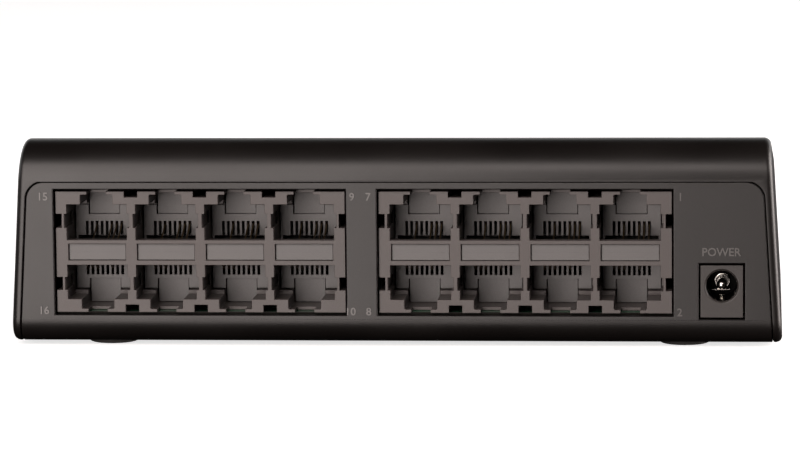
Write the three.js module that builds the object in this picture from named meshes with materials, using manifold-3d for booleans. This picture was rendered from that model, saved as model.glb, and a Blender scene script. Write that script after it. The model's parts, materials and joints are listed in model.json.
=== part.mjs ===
// A sixteen-port desktop network switch with stacked jacks, seen from its port side.
// Millimetres. +X runs to the right along the port side, +Y from the ports to the indicator side, +Z up.
// The origin is the middle of the footprint, on the surface that the rubber feet stand on.
import * as THREE from "three";
import { mergeVertices } from "three/addons/utils/BufferGeometryUtils.js";
import Module from "manifold-3d";

const wasm = await Module();
wasm.setup();

// ---------------------------------------------------------------- driving dimensions

// Case. Heights are above the underside of the case, which the feet lift off the table.
const CASE_WIDTH = 155.2;
const CASE_DEPTH = 100;
const REAR_FACE_HEIGHT = 32.75;
const REAR_TOP_RADIUS = 8;
const FRONT_TOP_RADIUS = 10;
const REAR_BOTTOM_RADIUS = 5;
const FRONT_BOTTOM_RADIUS = 3;
const TOP_FALL = THREE.MathUtils.degToRad(8);
const SIDE_DRAFT = 0.058;
const WALL = 1.8;
const FLOOR = 2;
const PANEL_CORNER_RADIUS = 3.7;
const LIP_HEIGHT = 7;
const LIP_THICKNESS = 1.4;
const JOINT_GAP = 0.15;
const FIT_GAP = 0.3;
const HALF_DEPTH = CASE_DEPTH / 2;

// Cutting bodies run past what they cut by OVERCUT, or right across the case by SPAN.
const OVERCUT = 1;
const SPAN = CASE_WIDTH;

// Feet, screws and posts.
const FOOT_PROUD = 0.8;
const FOOT_RADIUS = 5;
const FOOT_THICKNESS = 1.4;
const FOOT_X = 58;
const FOOT_Y = [-40, 36];
const POST_X = 69;
const POST_Y = [-16, 38];
const POST_RADIUS = 4;
const POST_TOP = 14;
const COVER_POST_RADIUS = 3.2;
const SCREW_HEAD_RADIUS = 2.8;
const SCREW_HEAD_HEIGHT = 1.8;
const SCREW_SHANK_RADIUS = 1.4;
const SCREW_SEAT = 3.2;
const SCREW_LENGTH = 17;
const RECESS_SLOT = 0.9;
const RECESS_REACH = 1.7;
const RECESS_DEPTH = 1;

// Underside: a shallow bed for the blank rating label, and two rows of cooling slots.
const LABEL = { width: 58, depth: 24, thickness: 0.2, bed: 0.5, y: 10 };
const VENT = { count: 9, pitch: 5, width: 1.8, length: 20, x: 37, y: -22 };

// Indicator window in the front wall.
const LENS = { width: 112, height: 4.4, middle: 14, flange: 1.2, flangeDepth: 1, setBack: 0.2 };

// Circuit board.
const BOARD = { halfWidth: 72, rear: -47.4, front: 45, underside: 4.55, thickness: 1.6 };
const BOARD_TOP = BOARD.underside + BOARD.thickness;
const SEAT_GAP = 0.05;
const BOARD_SCREWS = [[0, -12], [0, 34]];
const STANDOFFS = [[-62, -4], [62, -4], [-62, 28], [62, 28]];
const STANDOFF_RADIUS = 3;

// Stacked jack blocks: four columns of two ports. Depths run from the block's face, heights from its underside.
const PORT_PITCH = 13.97;
const COLUMNS = 4;
const BLOCK = { width: 58.5, height: 24.45, depth: 25, setBack: 1 };
const BLOCK_X = [-38.9, 26.4];
const BANK_OPENING = { width: 59.1, low: 5.75, high: 31.15 };
const OPENING_CUT_DEPTH = 4;
const MOUTH_HALF_WIDTH = 6.1;
const LOWER_MOUTH = [2.61, 9.57];
const UPPER_MOUTH = [14.6, 21.82];
const MOUTH_DEPTH = 10;
const LATCH = { halfWide: 3.35, halfNarrow: 2.05, lip: 0.6, depth: 10.5, lipDepth: 4 };
const SIDE_NOTCH = { deep: 0.5, depth: 8, lower: [4.5, 7.1], upper: [17.1, 19.9] };
const OUTER_NOTCH = { deep: 1.2, depth: 8 };
const WEB_NOTCH = { width: 2.7, height: 1.2, depth: 8 };
const WINDOW = { halfWidth: 5.85, low: 10.49, high: 13.85 };
const BAR_DEPTH = 2.5;
const REAR_CAVITY = { halfWidth: 5.95, low: 5.2, high: 19.1 };
const STACK_MIDDLE = (WINDOW.low + WINDOW.high) / 2;

// Jack inserts: a nose with a plate that fills the window, and a spine with a comb for each port.
const NOSE = { halfWidth: 5.6, halfHeight: 1.38 };
const NOSE_PLATE = { halfWidth: 5.75, halfHeight: 1.6, front: 0.6, rear: 2.4 };
const SPINE = { halfWidth: 5.65, halfHeight: 6.6, rear: 24 };
const WIRE_PITCH = 1.016;
const WIRE_PLACES = 8;
const COMB_SLOT = { width: 0.45, depth: 1.6, near: 1.75, far: 5.43 };

// Contact wires of one port: flat springs on one carrier, which bend at the carrier.
const WIRE = { width: 0.3, thickness: 0.3, rootDepth: 3.4, rootHeight: 1.78, tipDepth: 11, tipHeight: 4.93 };
const CARRIER = { near: 3, far: 3.8, halfHeight: 0.2 };
const LOWER_WIRES = [1, 2, 3, 6];
const UPPER_WIRES = [3, 6, 7, 8];

// Power jack. Its hole's middle is the reference.
const POWER = { x: 65.55, holeHeight: 11.85, holeRadius: 3.1, holeDepth: 9.5, setBack: 0.1, depth: 14 };
const POWER_OPENING = { halfWidth: 4.55, low: 5.15, high: 16.35 };
const POWER_BODY = { halfWidth: 4.24, low: 5.5, high: 16 };
const POWER_PIN = { radius: 1, tip: 1.5, flangeRadius: 1.53, flangeNear: 8.5, flangeFar: 9.3, tail: 16 };
const POWER_APRON_DEPTH = 1.7;
const PIN_WAY_GAP = 0.1;
const POWER_SLOT = { halfWidth: 0.9, low: 6.65, near: 2 };
const POWER_SPRING = { halfWidth: 0.6, thickness: 0.3, rear: [8.9, 7.55], crest: [4.8, 9.6], front: [2.8, 8.15] };

// Electronics on the board, which the case hides. Leads are shared by the moulded packages.
const LEAD = { halfWidth: 0.25, reach: 1.1, bite: 0.5, rise: 0.4, standoff: 0.3 };
const TRANSFORMER = { width: 26, depth: 13, height: 6, leads: 5, pitch: 4.8 };
const TRANSFORMER_PLACES = [[-50, -12], [-18, -12], [18, -12], [50, -12]];
const SWITCH_CHIP = { width: 26, depth: 24, height: 3.2, leads: 9, pitch: 2.6 };
const MEMORY_CHIP = { width: 5, depth: 4, height: 1.6, leads: 4, pitch: 1.27 };
const HEAT_SINK = { side: 24, base: 1.6, height: 9, fins: 7, fin: 1.2 };
const INDUCTOR = { halfBase: 5, baseHeight: 1.2, radius: 4.4, height: 5 };
const CRYSTAL = { halfLength: 3.2, radius: 2, rimRadius: 2.4, rimHeight: 0.6, height: 3.5 };
const REGULATOR = { halfWidth: 3.3, halfDepth: 3, height: 2.3, tabHalfWidth: 2.7, tabReach: 4.2 };
const REGULATOR_LEG = { pitch: 2.3, halfWidth: 0.4, reach: 4.8, thickness: 0.6 };
const CAPACITOR_PROFILE = [[0, 0], [3.6, 0], [4, 0.5], [4, 1.4], [3.7, 1.9], [4, 2.4], [4, 9.6], [3.6, 10], [0, 10]];
const CHIP_PLACE = [-8, 14];
const MEMORY_PLACE = [24, 20];
const CRYSTAL_PLACE = [22, 10];
const INDUCTOR_PLACE = [48, 8];
const REGULATOR_PLACE = [48, 24];
const CAPACITOR_PLACES = [[36, 6], [36, 20]];

// Colours.
const CASE_BLACK = { color: 0x2b2726, roughness: 0.55, metalness: 0 };
const JACK_BLACK = { color: 0x34302f, roughness: 0.5, metalness: 0 };
const CONTACT_GOLD = { color: 0xb08d4a, roughness: 0.3, metalness: 1 };
const NICKEL = { color: 0xc9c7c2, roughness: 0.2, metalness: 1 };
const RUBBER = { color: 0x1b1b1b, roughness: 0.9, metalness: 0 };
const STEEL = { color: 0x8a8a8a, roughness: 0.35, metalness: 1 };
const BOARD_GREEN = { color: 0x1f5a3a, roughness: 0.5, metalness: 0 };
const CHIP_BLACK = { color: 0x222222, roughness: 0.6, metalness: 0 };
const SMOKED = { color: 0x3a2a2a, roughness: 0.15, metalness: 0 };
const LABEL_SILVER = { color: 0xb9b9b5, roughness: 0.5, metalness: 0 };
const HEAT_SINK_BLACK = { color: 0x3c3c3e, roughness: 0.5, metalness: 0.6 };

// ---------------------------------------------------------------- solids

const toSideways = new THREE.Matrix4().set(0, 0, 1, 0, 1, 0, 0, 0, 0, 1, 0, 0, 0, 0, 0, 1);

function solid(geometry) {
  const bare = geometry.clone();
  bare.deleteAttribute("normal");
  bare.deleteAttribute("uv");
  const merged = mergeVertices(bare, 1e-4);
  const mesh = new wasm.Mesh({
    numProp: 3,
    vertProperties: merged.attributes.position.array,
    triVerts: new Uint32Array(merged.index.array),
  });
  return new wasm.Manifold(mesh);
}

function geometryOf(body) {
  const mesh = body.getMesh();
  const geometry = new THREE.BufferGeometry();
  geometry.setAttribute("position", new THREE.BufferAttribute(mesh.vertProperties, 3));
  geometry.setIndex(new THREE.BufferAttribute(mesh.triVerts, 1));
  geometry.computeVertexNormals();
  return geometry;
}

function box(low, high) {
  const size = high.map((value, axis) => value - low[axis]);
  const middle = high.map((value, axis) => (value + low[axis]) / 2);
  return solid(new THREE.BoxGeometry(...size).translate(...middle));
}

function extruded(outline, length) {
  const shape = new THREE.Shape(outline.map(([a, b]) => new THREE.Vector2(a, b)));
  return new THREE.ExtrudeGeometry(shape, { depth: length, bevelEnabled: false });
}

// An outline of [y, z] points, pulled along X.
function alongX(outline, from, to) {
  return solid(extruded(outline, to - from).applyMatrix4(toSideways).translate(from, 0, 0));
}

// An outline of [x, z] points, pulled along Y.
function alongY(outline, from, to) {
  return solid(extruded(outline, to - from).rotateX(Math.PI / 2).translate(0, to, 0));
}

// An outline pulled right across the case.
function acrossX(outline) {
  return alongX(outline, -SPAN, SPAN);
}

function acrossY(outline) {
  return alongY(outline, -SPAN, SPAN);
}

function rod(radius, [x, y], low, high, sides = 20) {
  const cylinder = new THREE.CylinderGeometry(radius, radius, high - low, sides);
  return solid(cylinder.rotateX(Math.PI / 2).translate(x, y, (low + high) / 2));
}

function cut(body, tools) {
  return tools.reduce((left, tool) => left.subtract(tool), body);
}

function join(bodies) {
  return bodies.reduce((whole, body) => whole.add(body));
}

function arc([a, b], radius, fromDegrees, toDegrees, steps) {
  return Array.from({ length: steps + 1 }, (_, step) => {
    const angle = THREE.MathUtils.degToRad(fromDegrees + ((toDegrees - fromDegrees) * step) / steps);
    return [a + radius * Math.cos(angle), b + radius * Math.sin(angle)];
  });
}

// ---------------------------------------------------------------- case

function halfWidthAt(height) {
  return CASE_WIDTH / 2 - SIDE_DRAFT * height;
}

// The case's outline seen from the side, moved inwards by inset.
function sideOutline(inset) {
  const fall = THREE.MathUtils.radToDeg(TOP_FALL);
  const rearMiddle = [REAR_TOP_RADIUS - HALF_DEPTH, REAR_FACE_HEIGHT];
  const frontY = HALF_DEPTH - FRONT_TOP_RADIUS;
  const run = frontY - rearMiddle[0] + (FRONT_TOP_RADIUS - REAR_TOP_RADIUS) * Math.sin(TOP_FALL);
  const drop = run * Math.tan(TOP_FALL);
  const lean = (FRONT_TOP_RADIUS - REAR_TOP_RADIUS) * Math.cos(TOP_FALL);
  const frontMiddle = [frontY, REAR_FACE_HEIGHT - drop - lean];
  return [
    ...arc([REAR_BOTTOM_RADIUS - HALF_DEPTH, REAR_BOTTOM_RADIUS], REAR_BOTTOM_RADIUS - inset, 270, 180, 5),
    ...arc(rearMiddle, REAR_TOP_RADIUS - inset, 180, 90 - fall, 9),
    ...arc(frontMiddle, FRONT_TOP_RADIUS - inset, 90 - fall, 0, 8),
    ...arc([HALF_DEPTH - FRONT_BOTTOM_RADIUS, FRONT_BOTTOM_RADIUS], FRONT_BOTTOM_RADIUS - inset, 0, -90, 3),
  ];
}

// The case's outline seen from the ports, moved inwards by inset, between two heights.
function portOutline(inset, low, high) {
  return [
    [-halfWidthAt(low) + inset, low],
    [halfWidthAt(low) - inset, low],
    [halfWidthAt(high) - inset, high],
    [-halfWidthAt(high) + inset, high],
  ];
}

// The rear panel's outline, with its two round upper corners.
function panelOutline(inset, low) {
  const radius = PANEL_CORNER_RADIUS - inset;
  const top = REAR_FACE_HEIGHT - PANEL_CORNER_RADIUS;
  const side = halfWidthAt(top) - WALL - PANEL_CORNER_RADIUS;
  return [
    [-halfWidthAt(low) + WALL + inset, low],
    [halfWidthAt(low) - WALL - inset, low],
    ...arc([side, top], radius, 0, 90, 5),
    ...arc([-side, top], radius, 90, 180, 5),
  ];
}

function corners(xs, ys) {
  return ys.flatMap((y) => xs.map((x) => [x, y]));
}

const POSTS = corners([-POST_X, POST_X], POST_Y);
const FEET = corners([-FOOT_X, FOOT_X], FOOT_Y);

function upperCover() {
  const outside = acrossX(sideOutline(0)).intersect(acrossY(portOutline(0, 0, SPAN)));
  const inside = acrossX(sideOutline(WALL)).intersect(acrossY(portOutline(WALL, 0, SPAN)));
  const underside = alongY(portOutline(WALL, -OVERCUT, LIP_HEIGHT), -SPAN, HALF_DEPTH - WALL);
  const rear = alongY(panelOutline(0, -OVERCUT), -SPAN, REAR_TOP_RADIUS - HALF_DEPTH);
  const window = box(
    [-LENS.width / 2, HALF_DEPTH - WALL - OVERCUT, LENS.middle - LENS.height / 2],
    [LENS.width / 2, HALF_DEPTH + OVERCUT, LENS.middle + LENS.height / 2],
  );
  const shell = cut(outside, [inside, underside, rear, window]);
  const posts = POSTS.map((place) => rod(COVER_POST_RADIUS, place, POST_TOP + FIT_GAP, SPAN).intersect(outside));
  const bores = POSTS.map((place) => rod(SCREW_SHANK_RADIUS + FIT_GAP, place, 0, SCREW_LENGTH + OVERCUT, 12));
  return cut(join([shell, ...posts]), bores);
}

function lowerCase() {
  const plan = box([-SPAN, -HALF_DEPTH, 0], [SPAN, HALF_DEPTH - WALL - FIT_GAP, REAR_FACE_HEIGHT]);
  const outside = acrossX(sideOutline(0)).intersect(acrossY(panelOutline(JOINT_GAP, 0)));
  const hollow = acrossX([
    ...arc([REAR_BOTTOM_RADIUS - HALF_DEPTH, REAR_BOTTOM_RADIUS], REAR_BOTTOM_RADIUS - FLOOR, 270, 180, 5),
    [FLOOR - HALF_DEPTH, SPAN],
    [SPAN, SPAN],
    [SPAN, FLOOR],
  ]);
  const tray = cut(outside.intersect(plan), [hollow]);
  const lips = [-1, 1].map((side) => {
    const outer = halfWidthAt(LIP_HEIGHT) - WALL - FIT_GAP;
    const [a, b] = [side * (outer - LIP_THICKNESS), side * outer].sort((p, q) => p - q);
    return box([a, FLOOR - HALF_DEPTH, FLOOR / 2], [b, HALF_DEPTH - WALL - FIT_GAP, LIP_HEIGHT]);
  });
  const posts = POSTS.map((place) => rod(POST_RADIUS, place, FLOOR / 2, POST_TOP));
  const boardPlaces = [...STANDOFFS, ...BOARD_SCREWS];
  const standoffs = boardPlaces.map((place) =>
    rod(STANDOFF_RADIUS, place, FLOOR / 2, BOARD.underside - SEAT_GAP, 12),
  );
  const banks = BLOCK_X.map((x) =>
    box(
      [x - BANK_OPENING.width / 2, -SPAN, BANK_OPENING.low],
      [x + BANK_OPENING.width / 2, OPENING_CUT_DEPTH - HALF_DEPTH, BANK_OPENING.high],
    ),
  );
  const powerOpening = box(
    [POWER.x - POWER_OPENING.halfWidth, -SPAN, POWER_OPENING.low],
    [POWER.x + POWER_OPENING.halfWidth, OPENING_CUT_DEPTH - HALF_DEPTH, POWER_OPENING.high],
  );
  const seats = POSTS.map((place) => rod(SCREW_HEAD_RADIUS + FIT_GAP, place, -OVERCUT, SCREW_SEAT));
  const bores = POSTS.map((place) => rod(SCREW_SHANK_RADIUS + FIT_GAP, place, 0, POST_TOP + OVERCUT, 12));
  const pilots = BOARD_SCREWS.map((place) => rod(SCREW_SHANK_RADIUS + FIT_GAP, place, FLOOR / 2, BOARD_TOP, 12));
  const footBedTop = FOOT_THICKNESS - FOOT_PROUD + FIT_GAP;
  const footBeds = FEET.map((place) => rod(FOOT_RADIUS + FIT_GAP, place, -OVERCUT, footBedTop));
  const labelBed = box(
    [-LABEL.width / 2 - FIT_GAP, LABEL.y - LABEL.depth / 2 - FIT_GAP, -OVERCUT],
    [LABEL.width / 2 + FIT_GAP, LABEL.y + LABEL.depth / 2 + FIT_GAP, LABEL.bed],
  );
  const vents = [-1, 1].flatMap((side) =>
    Array.from({ length: VENT.count }, (_, slot) => {
      const x = side * VENT.x + (slot - (VENT.count - 1) / 2) * VENT.pitch;
      return box(
        [x - VENT.width / 2, VENT.y - VENT.length / 2, -OVERCUT],
        [x + VENT.width / 2, VENT.y + VENT.length / 2, FLOOR + OVERCUT],
      );
    }),
  );
  const whole = join([tray, ...lips, ...posts, ...standoffs]);
  return cut(whole, [...banks, powerOpening, ...seats, ...bores, ...pilots, ...footBeds, labelBed, ...vents]);
}

// A pan-head screw, head down, with a cross recess in the head.
function screw([x, y], headLow, length) {
  const headHigh = headLow + SCREW_HEAD_HEIGHT;
  const head = rod(SCREW_HEAD_RADIUS, [x, y], headLow, headHigh, 16);
  const shank = rod(SCREW_SHANK_RADIUS, [x, y], headLow + RECESS_DEPTH + FIT_GAP, headHigh + length, 10);
  const slots = [
    [RECESS_REACH, RECESS_SLOT / 2],
    [RECESS_SLOT / 2, RECESS_REACH],
  ].map(([dx, dy]) => box([x - dx, y - dy, headLow - OVERCUT], [x + dx, y + dy, headLow + RECESS_DEPTH]));
  return cut(join([head, shank]), slots);
}

// The same screw, head up, for the board.
function boardScrew([x, y]) {
  const length = BOARD_TOP - FLOOR;
  const upsideDown = geometryOf(screw([0, 0], 0, length)).rotateX(Math.PI);
  return solid(upsideDown.translate(x, y, BOARD_TOP + FIT_GAP + SCREW_HEAD_HEIGHT));
}

function indicatorLens() {
  const inner = LENS.height / 2 - JOINT_GAP;
  const front = box(
    [JOINT_GAP - LENS.width / 2, HALF_DEPTH - WALL - FIT_GAP - LENS.flangeDepth, LENS.middle - inner],
    [LENS.width / 2 - JOINT_GAP, HALF_DEPTH - LENS.setBack, LENS.middle + inner],
  );
  const flangeFront = HALF_DEPTH - WALL - FIT_GAP;
  const flange = box(
    [-LENS.width / 2 - LENS.flange, flangeFront - LENS.flangeDepth, LENS.middle - inner - LENS.flange],
    [LENS.width / 2 + LENS.flange, flangeFront, LENS.middle + inner + LENS.flange],
  );
  return join([front, flange]);
}

// ---------------------------------------------------------------- jacks

function columnX(column) {
  return (column - (COLUMNS - 1) / 2) * PORT_PITCH;
}

// The cuts for one port's mouth. The latch side is up for an upper port and down for a lower one.
function mouthCuts(x, [low, high], isUpper, notch) {
  const edge = isUpper ? high : low;
  const outerFace = isUpper ? BLOCK.height : 0;
  const away = isUpper ? 1 : -1;
  const lipInner = outerFace - away * LATCH.lip;
  const spanned = (p, q) => [Math.min(p, q), Math.max(p, q)];
  const [wideLow, wideHigh] = spanned(edge - away * OVERCUT, lipInner);
  const [lipLow, lipHigh] = spanned(lipInner - away * LATCH.lip, outerFace + away * OVERCUT);
  return [
    box([x - MOUTH_HALF_WIDTH, -OVERCUT, low], [x + MOUTH_HALF_WIDTH, MOUTH_DEPTH, high]),
    box([x - LATCH.halfWide, -OVERCUT, wideLow], [x + LATCH.halfWide, LATCH.depth, wideHigh]),
    box([x - LATCH.halfNarrow, -OVERCUT, lipLow], [x + LATCH.halfNarrow, LATCH.lipDepth, lipHigh]),
    box(
      [x - MOUTH_HALF_WIDTH - SIDE_NOTCH.deep, -OVERCUT, notch[0]],
      [x + MOUTH_HALF_WIDTH + SIDE_NOTCH.deep, SIDE_NOTCH.depth, notch[1]],
    ),
  ];
}

function jackHousing() {
  const halfBlock = BLOCK.width / 2;
  const block = box([-halfBlock, 0, 0], [halfBlock, BLOCK.depth, BLOCK.height]);
  const cuts = [];
  for (let column = 0; column < COLUMNS; column += 1) {
    const x = columnX(column);
    cuts.push(...mouthCuts(x, LOWER_MOUTH, false, SIDE_NOTCH.lower));
    cuts.push(...mouthCuts(x, UPPER_MOUTH, true, SIDE_NOTCH.upper));
    cuts.push(
      box(
        [x - WINDOW.halfWidth, -OVERCUT, WINDOW.low],
        [x + WINDOW.halfWidth, BAR_DEPTH + OVERCUT, WINDOW.high],
      ),
    );
    cuts.push(
      box(
        [x - REAR_CAVITY.halfWidth, BAR_DEPTH, LOWER_MOUTH[1] - FIT_GAP],
        [x + REAR_CAVITY.halfWidth, MOUTH_DEPTH + OVERCUT, UPPER_MOUTH[0] + FIT_GAP],
      ),
    );
    cuts.push(
      box(
        [x - REAR_CAVITY.halfWidth, MOUTH_DEPTH - FIT_GAP, REAR_CAVITY.low],
        [x + REAR_CAVITY.halfWidth, BLOCK.depth + OVERCUT, REAR_CAVITY.high],
      ),
    );
  }
  for (let web = 1; web < COLUMNS; web += 1) {
    const x = columnX(web) - PORT_PITCH / 2;
    const reach = WEB_NOTCH.width / 2;
    const top = BLOCK.height - WEB_NOTCH.height;
    cuts.push(box([x - reach, -OVERCUT, -OVERCUT], [x + reach, WEB_NOTCH.depth, WEB_NOTCH.height]));
    cuts.push(box([x - reach, -OVERCUT, top], [x + reach, WEB_NOTCH.depth, BLOCK.height + OVERCUT]));
  }
  for (const [low, high] of [SIDE_NOTCH.lower, SIDE_NOTCH.upper]) {
    const inner = halfBlock - OUTER_NOTCH.deep;
    cuts.push(box([-SPAN, -OVERCUT, low], [-inner, OUTER_NOTCH.depth, high]));
    cuts.push(box([inner, -OVERCUT, low], [SPAN, OUTER_NOTCH.depth, high]));
  }
  return cut(block, cuts);
}

function jackInsert() {
  const nosePlate = box(
    [-NOSE_PLATE.halfWidth, NOSE_PLATE.front, STACK_MIDDLE - NOSE_PLATE.halfHeight],
    [NOSE_PLATE.halfWidth, NOSE_PLATE.rear, STACK_MIDDLE + NOSE_PLATE.halfHeight],
  );
  const nose = box(
    [-NOSE.halfWidth, NOSE_PLATE.front, STACK_MIDDLE - NOSE.halfHeight],
    [NOSE.halfWidth, MOUTH_DEPTH + OVERCUT, STACK_MIDDLE + NOSE.halfHeight],
  );
  const spine = box(
    [-SPINE.halfWidth, MOUTH_DEPTH, STACK_MIDDLE - SPINE.halfHeight],
    [SPINE.halfWidth, SPINE.rear, STACK_MIDDLE + SPINE.halfHeight],
  );
  const slots = [];
  for (const side of [-1, 1]) {
    for (let place = 1; place <= WIRE_PLACES; place += 1) {
      const x = wireX(place);
      const ends = [STACK_MIDDLE + side * COMB_SLOT.near, STACK_MIDDLE + side * COMB_SLOT.far];
      slots.push(
        box(
          [x - COMB_SLOT.width / 2, MOUTH_DEPTH - OVERCUT, Math.min(...ends)],
          [x + COMB_SLOT.width / 2, MOUTH_DEPTH + COMB_SLOT.depth, Math.max(...ends)],
        ),
      );
    }
  }
  return cut(join([nosePlate, nose, spine]), slots);
}

function wireX(place) {
  return (place - (WIRE_PLACES + 1) / 2) * WIRE_PITCH;
}

// The contact wires of one port on their carrier. side is 1 above the stack's middle and -1 below it.
function portContacts(places, side) {
  const root = [WIRE.rootDepth, STACK_MIDDLE + side * WIRE.rootHeight];
  const tip = [WIRE.tipDepth, STACK_MIDDLE + side * WIRE.tipHeight];
  const length = Math.hypot(tip[0] - root[0], tip[1] - root[1]);
  const across = [
    (-(tip[1] - root[1]) / length) * (WIRE.thickness / 2),
    ((tip[0] - root[0]) / length) * (WIRE.thickness / 2),
  ];
  const outline = [
    [root[0] - across[0], root[1] - across[1]],
    [tip[0] - across[0], tip[1] - across[1]],
    [tip[0] + across[0], tip[1] + across[1]],
    [root[0] + across[0], root[1] + across[1]],
  ];
  const wires = places.map((place) => {
    const x = wireX(place);
    return alongX(outline, x - WIRE.width / 2, x + WIRE.width / 2);
  });
  const ends = [Math.min(...places), Math.max(...places)].map(wireX);
  const carrier = box(
    [ends[0] - WIRE.width / 2, CARRIER.near, root[1] - CARRIER.halfHeight],
    [ends[1] + WIRE.width / 2, CARRIER.far, root[1] + CARRIER.halfHeight],
  );
  return join([carrier, ...wires]);
}

// ---------------------------------------------------------------- power jack

// Depths run from the jack's face.
function powerJackHousing() {
  const body = box(
    [-POWER_BODY.halfWidth, 0, BOARD_TOP + SEAT_GAP],
    [POWER_BODY.halfWidth, POWER.depth, POWER_BODY.high],
  );
  const apron = box(
    [-POWER_BODY.halfWidth, 0, POWER_BODY.low],
    [POWER_BODY.halfWidth, POWER_APRON_DEPTH, BOARD_TOP + OVERCUT],
  );
  const pinWayRadius = POWER_PIN.radius + PIN_WAY_GAP;
  const hole = new THREE.CylinderGeometry(POWER.holeRadius, POWER.holeRadius, POWER.holeDepth + OVERCUT, 28);
  const pinWay = new THREE.CylinderGeometry(pinWayRadius, pinWayRadius, POWER.depth, 12);
  const slot = box(
    [-POWER_SLOT.halfWidth, POWER_SLOT.near, POWER_SLOT.low],
    [POWER_SLOT.halfWidth, POWER.holeDepth, POWER.holeHeight],
  );
  return cut(join([body, apron]), [
    solid(hole.translate(0, (POWER.holeDepth - OVERCUT) / 2, POWER.holeHeight)),
    solid(pinWay.translate(0, POWER.depth, POWER.holeHeight)),
    slot,
  ]);
}

function powerJackPin() {
  const { radius, tip, flangeRadius, flangeNear, flangeFar, tail } = POWER_PIN;
  const profile = [
    [0, tip],
    [radius * 0.55, tip + 0.15],
    [radius * 0.88, tip + 0.45],
    [radius, tip + 0.9],
    [radius, flangeNear],
    [flangeRadius, flangeNear],
    [flangeRadius, flangeFar],
    [radius, flangeFar],
    [radius, tail],
    [0, tail],
  ];
  const points = profile.map(([r, depth]) => new THREE.Vector2(r, depth));
  return solid(new THREE.LatheGeometry(points, 14).translate(0, 0, POWER.holeHeight));
}

// The sleeve contact: a bowed leaf that rises through the floor of the hole.
function powerJackSpring() {
  const { halfWidth, thickness, rear, crest, front } = POWER_SPRING;
  const top = [rear, crest, front];
  const under = top.map(([depth, height]) => [depth, height - thickness]).reverse();
  return alongX([...top, ...under], -halfWidth, halfWidth);
}

// ---------------------------------------------------------------- electronics

function circuitBoard() {
  const board = box(
    [-BOARD.halfWidth, BOARD.rear, BOARD.underside],
    [BOARD.halfWidth, BOARD.front, BOARD_TOP],
  );
  const clearances = POSTS.map((place) => rod(POST_RADIUS + FIT_GAP, place, 0, BOARD_TOP + OVERCUT));
  const holes = BOARD_SCREWS.map((place) => rod(SCREW_SHANK_RADIUS + FIT_GAP, place, 0, BOARD_TOP + OVERCUT, 12));
  return cut(board, [...clearances, ...holes]);
}

// A moulded package with a row of leads along each long side, standing on the board.
function leadedPackage({ width, depth, height, leads, pitch }) {
  const body = box([-width / 2, -depth / 2, LEAD.standoff], [width / 2, depth / 2, height]);
  const feet = [-1, 1].flatMap((side) =>
    Array.from({ length: leads }, (_, lead) => {
      const x = (lead - (leads - 1) / 2) * pitch;
      const ends = [side * (depth / 2 - LEAD.bite), side * (depth / 2 + LEAD.reach)];
      return box(
        [x - LEAD.halfWidth, Math.min(...ends), 0],
        [x + LEAD.halfWidth, Math.max(...ends), height * LEAD.rise],
      );
    }),
  );
  return join([body, ...feet]);
}

function heatSink() {
  const { side, base, height, fins, fin } = HEAT_SINK;
  const plate = box([-side / 2, -side / 2, 0], [side / 2, side / 2, base]);
  const blades = Array.from({ length: fins }, (_, index) => {
    const x = -side / 2 + fin / 2 + (index * (side - fin)) / (fins - 1);
    return box([x - fin / 2, -side / 2, base / 2], [x + fin / 2, side / 2, height]);
  });
  return join([plate, ...blades]);
}

function capacitor() {
  const points = CAPACITOR_PROFILE.map(([r, height]) => new THREE.Vector2(r, height));
  return solid(new THREE.LatheGeometry(points, 16).rotateX(Math.PI / 2));
}

function inductor() {
  const { halfBase, baseHeight, radius, height } = INDUCTOR;
  const base = box([-halfBase, -halfBase, 0], [halfBase, halfBase, baseHeight]);
  return join([base, rod(radius, [0, 0], baseHeight / 2, height)]);
}

function crystal() {
  const { halfLength, radius, rimRadius, rimHeight, height } = CRYSTAL;
  const outline = (r) => [...arc([halfLength, 0], r, -90, 90, 6), ...arc([-halfLength, 0], r, 90, 270, 6)];
  return join([solid(extruded(outline(rimRadius), rimHeight)), solid(extruded(outline(radius), height))]);
}

function regulator() {
  const { halfWidth, halfDepth, height, tabHalfWidth, tabReach } = REGULATOR;
  const leg = REGULATOR_LEG;
  const body = box([-halfWidth, -halfDepth, 0], [halfWidth, halfDepth, height]);
  const tab = box([-tabHalfWidth, 0, 0], [tabHalfWidth, tabReach, leg.thickness]);
  const legs = [-leg.pitch, 0, leg.pitch].map((x) =>
    box([x - leg.halfWidth, -leg.reach, 0], [x + leg.halfWidth, 0, leg.thickness]),
  );
  return join([body, tab, ...legs]);
}

// ---------------------------------------------------------------- assembly

const networkSwitch = new THREE.Group();

// Everything but the feet is placed by its height above the case's underside.
const lifted = new THREE.Group();
lifted.position.z = FOOT_PROUD;
networkSwitch.add(lifted);

function piece(name, body, finish, place = [0, 0, 0], parent = lifted) {
  const mesh = new THREE.Mesh(geometryOf(body), new THREE.MeshStandardMaterial(finish));
  mesh.name = name;
  mesh.position.set(...place);
  parent.add(mesh);
}

piece("upper_cover", upperCover(), CASE_BLACK);
piece("lower_case", lowerCase(), CASE_BLACK);
piece("indicator_lens", indicatorLens(), SMOKED);
piece("circuit_board", circuitBoard(), BOARD_GREEN);

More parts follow.
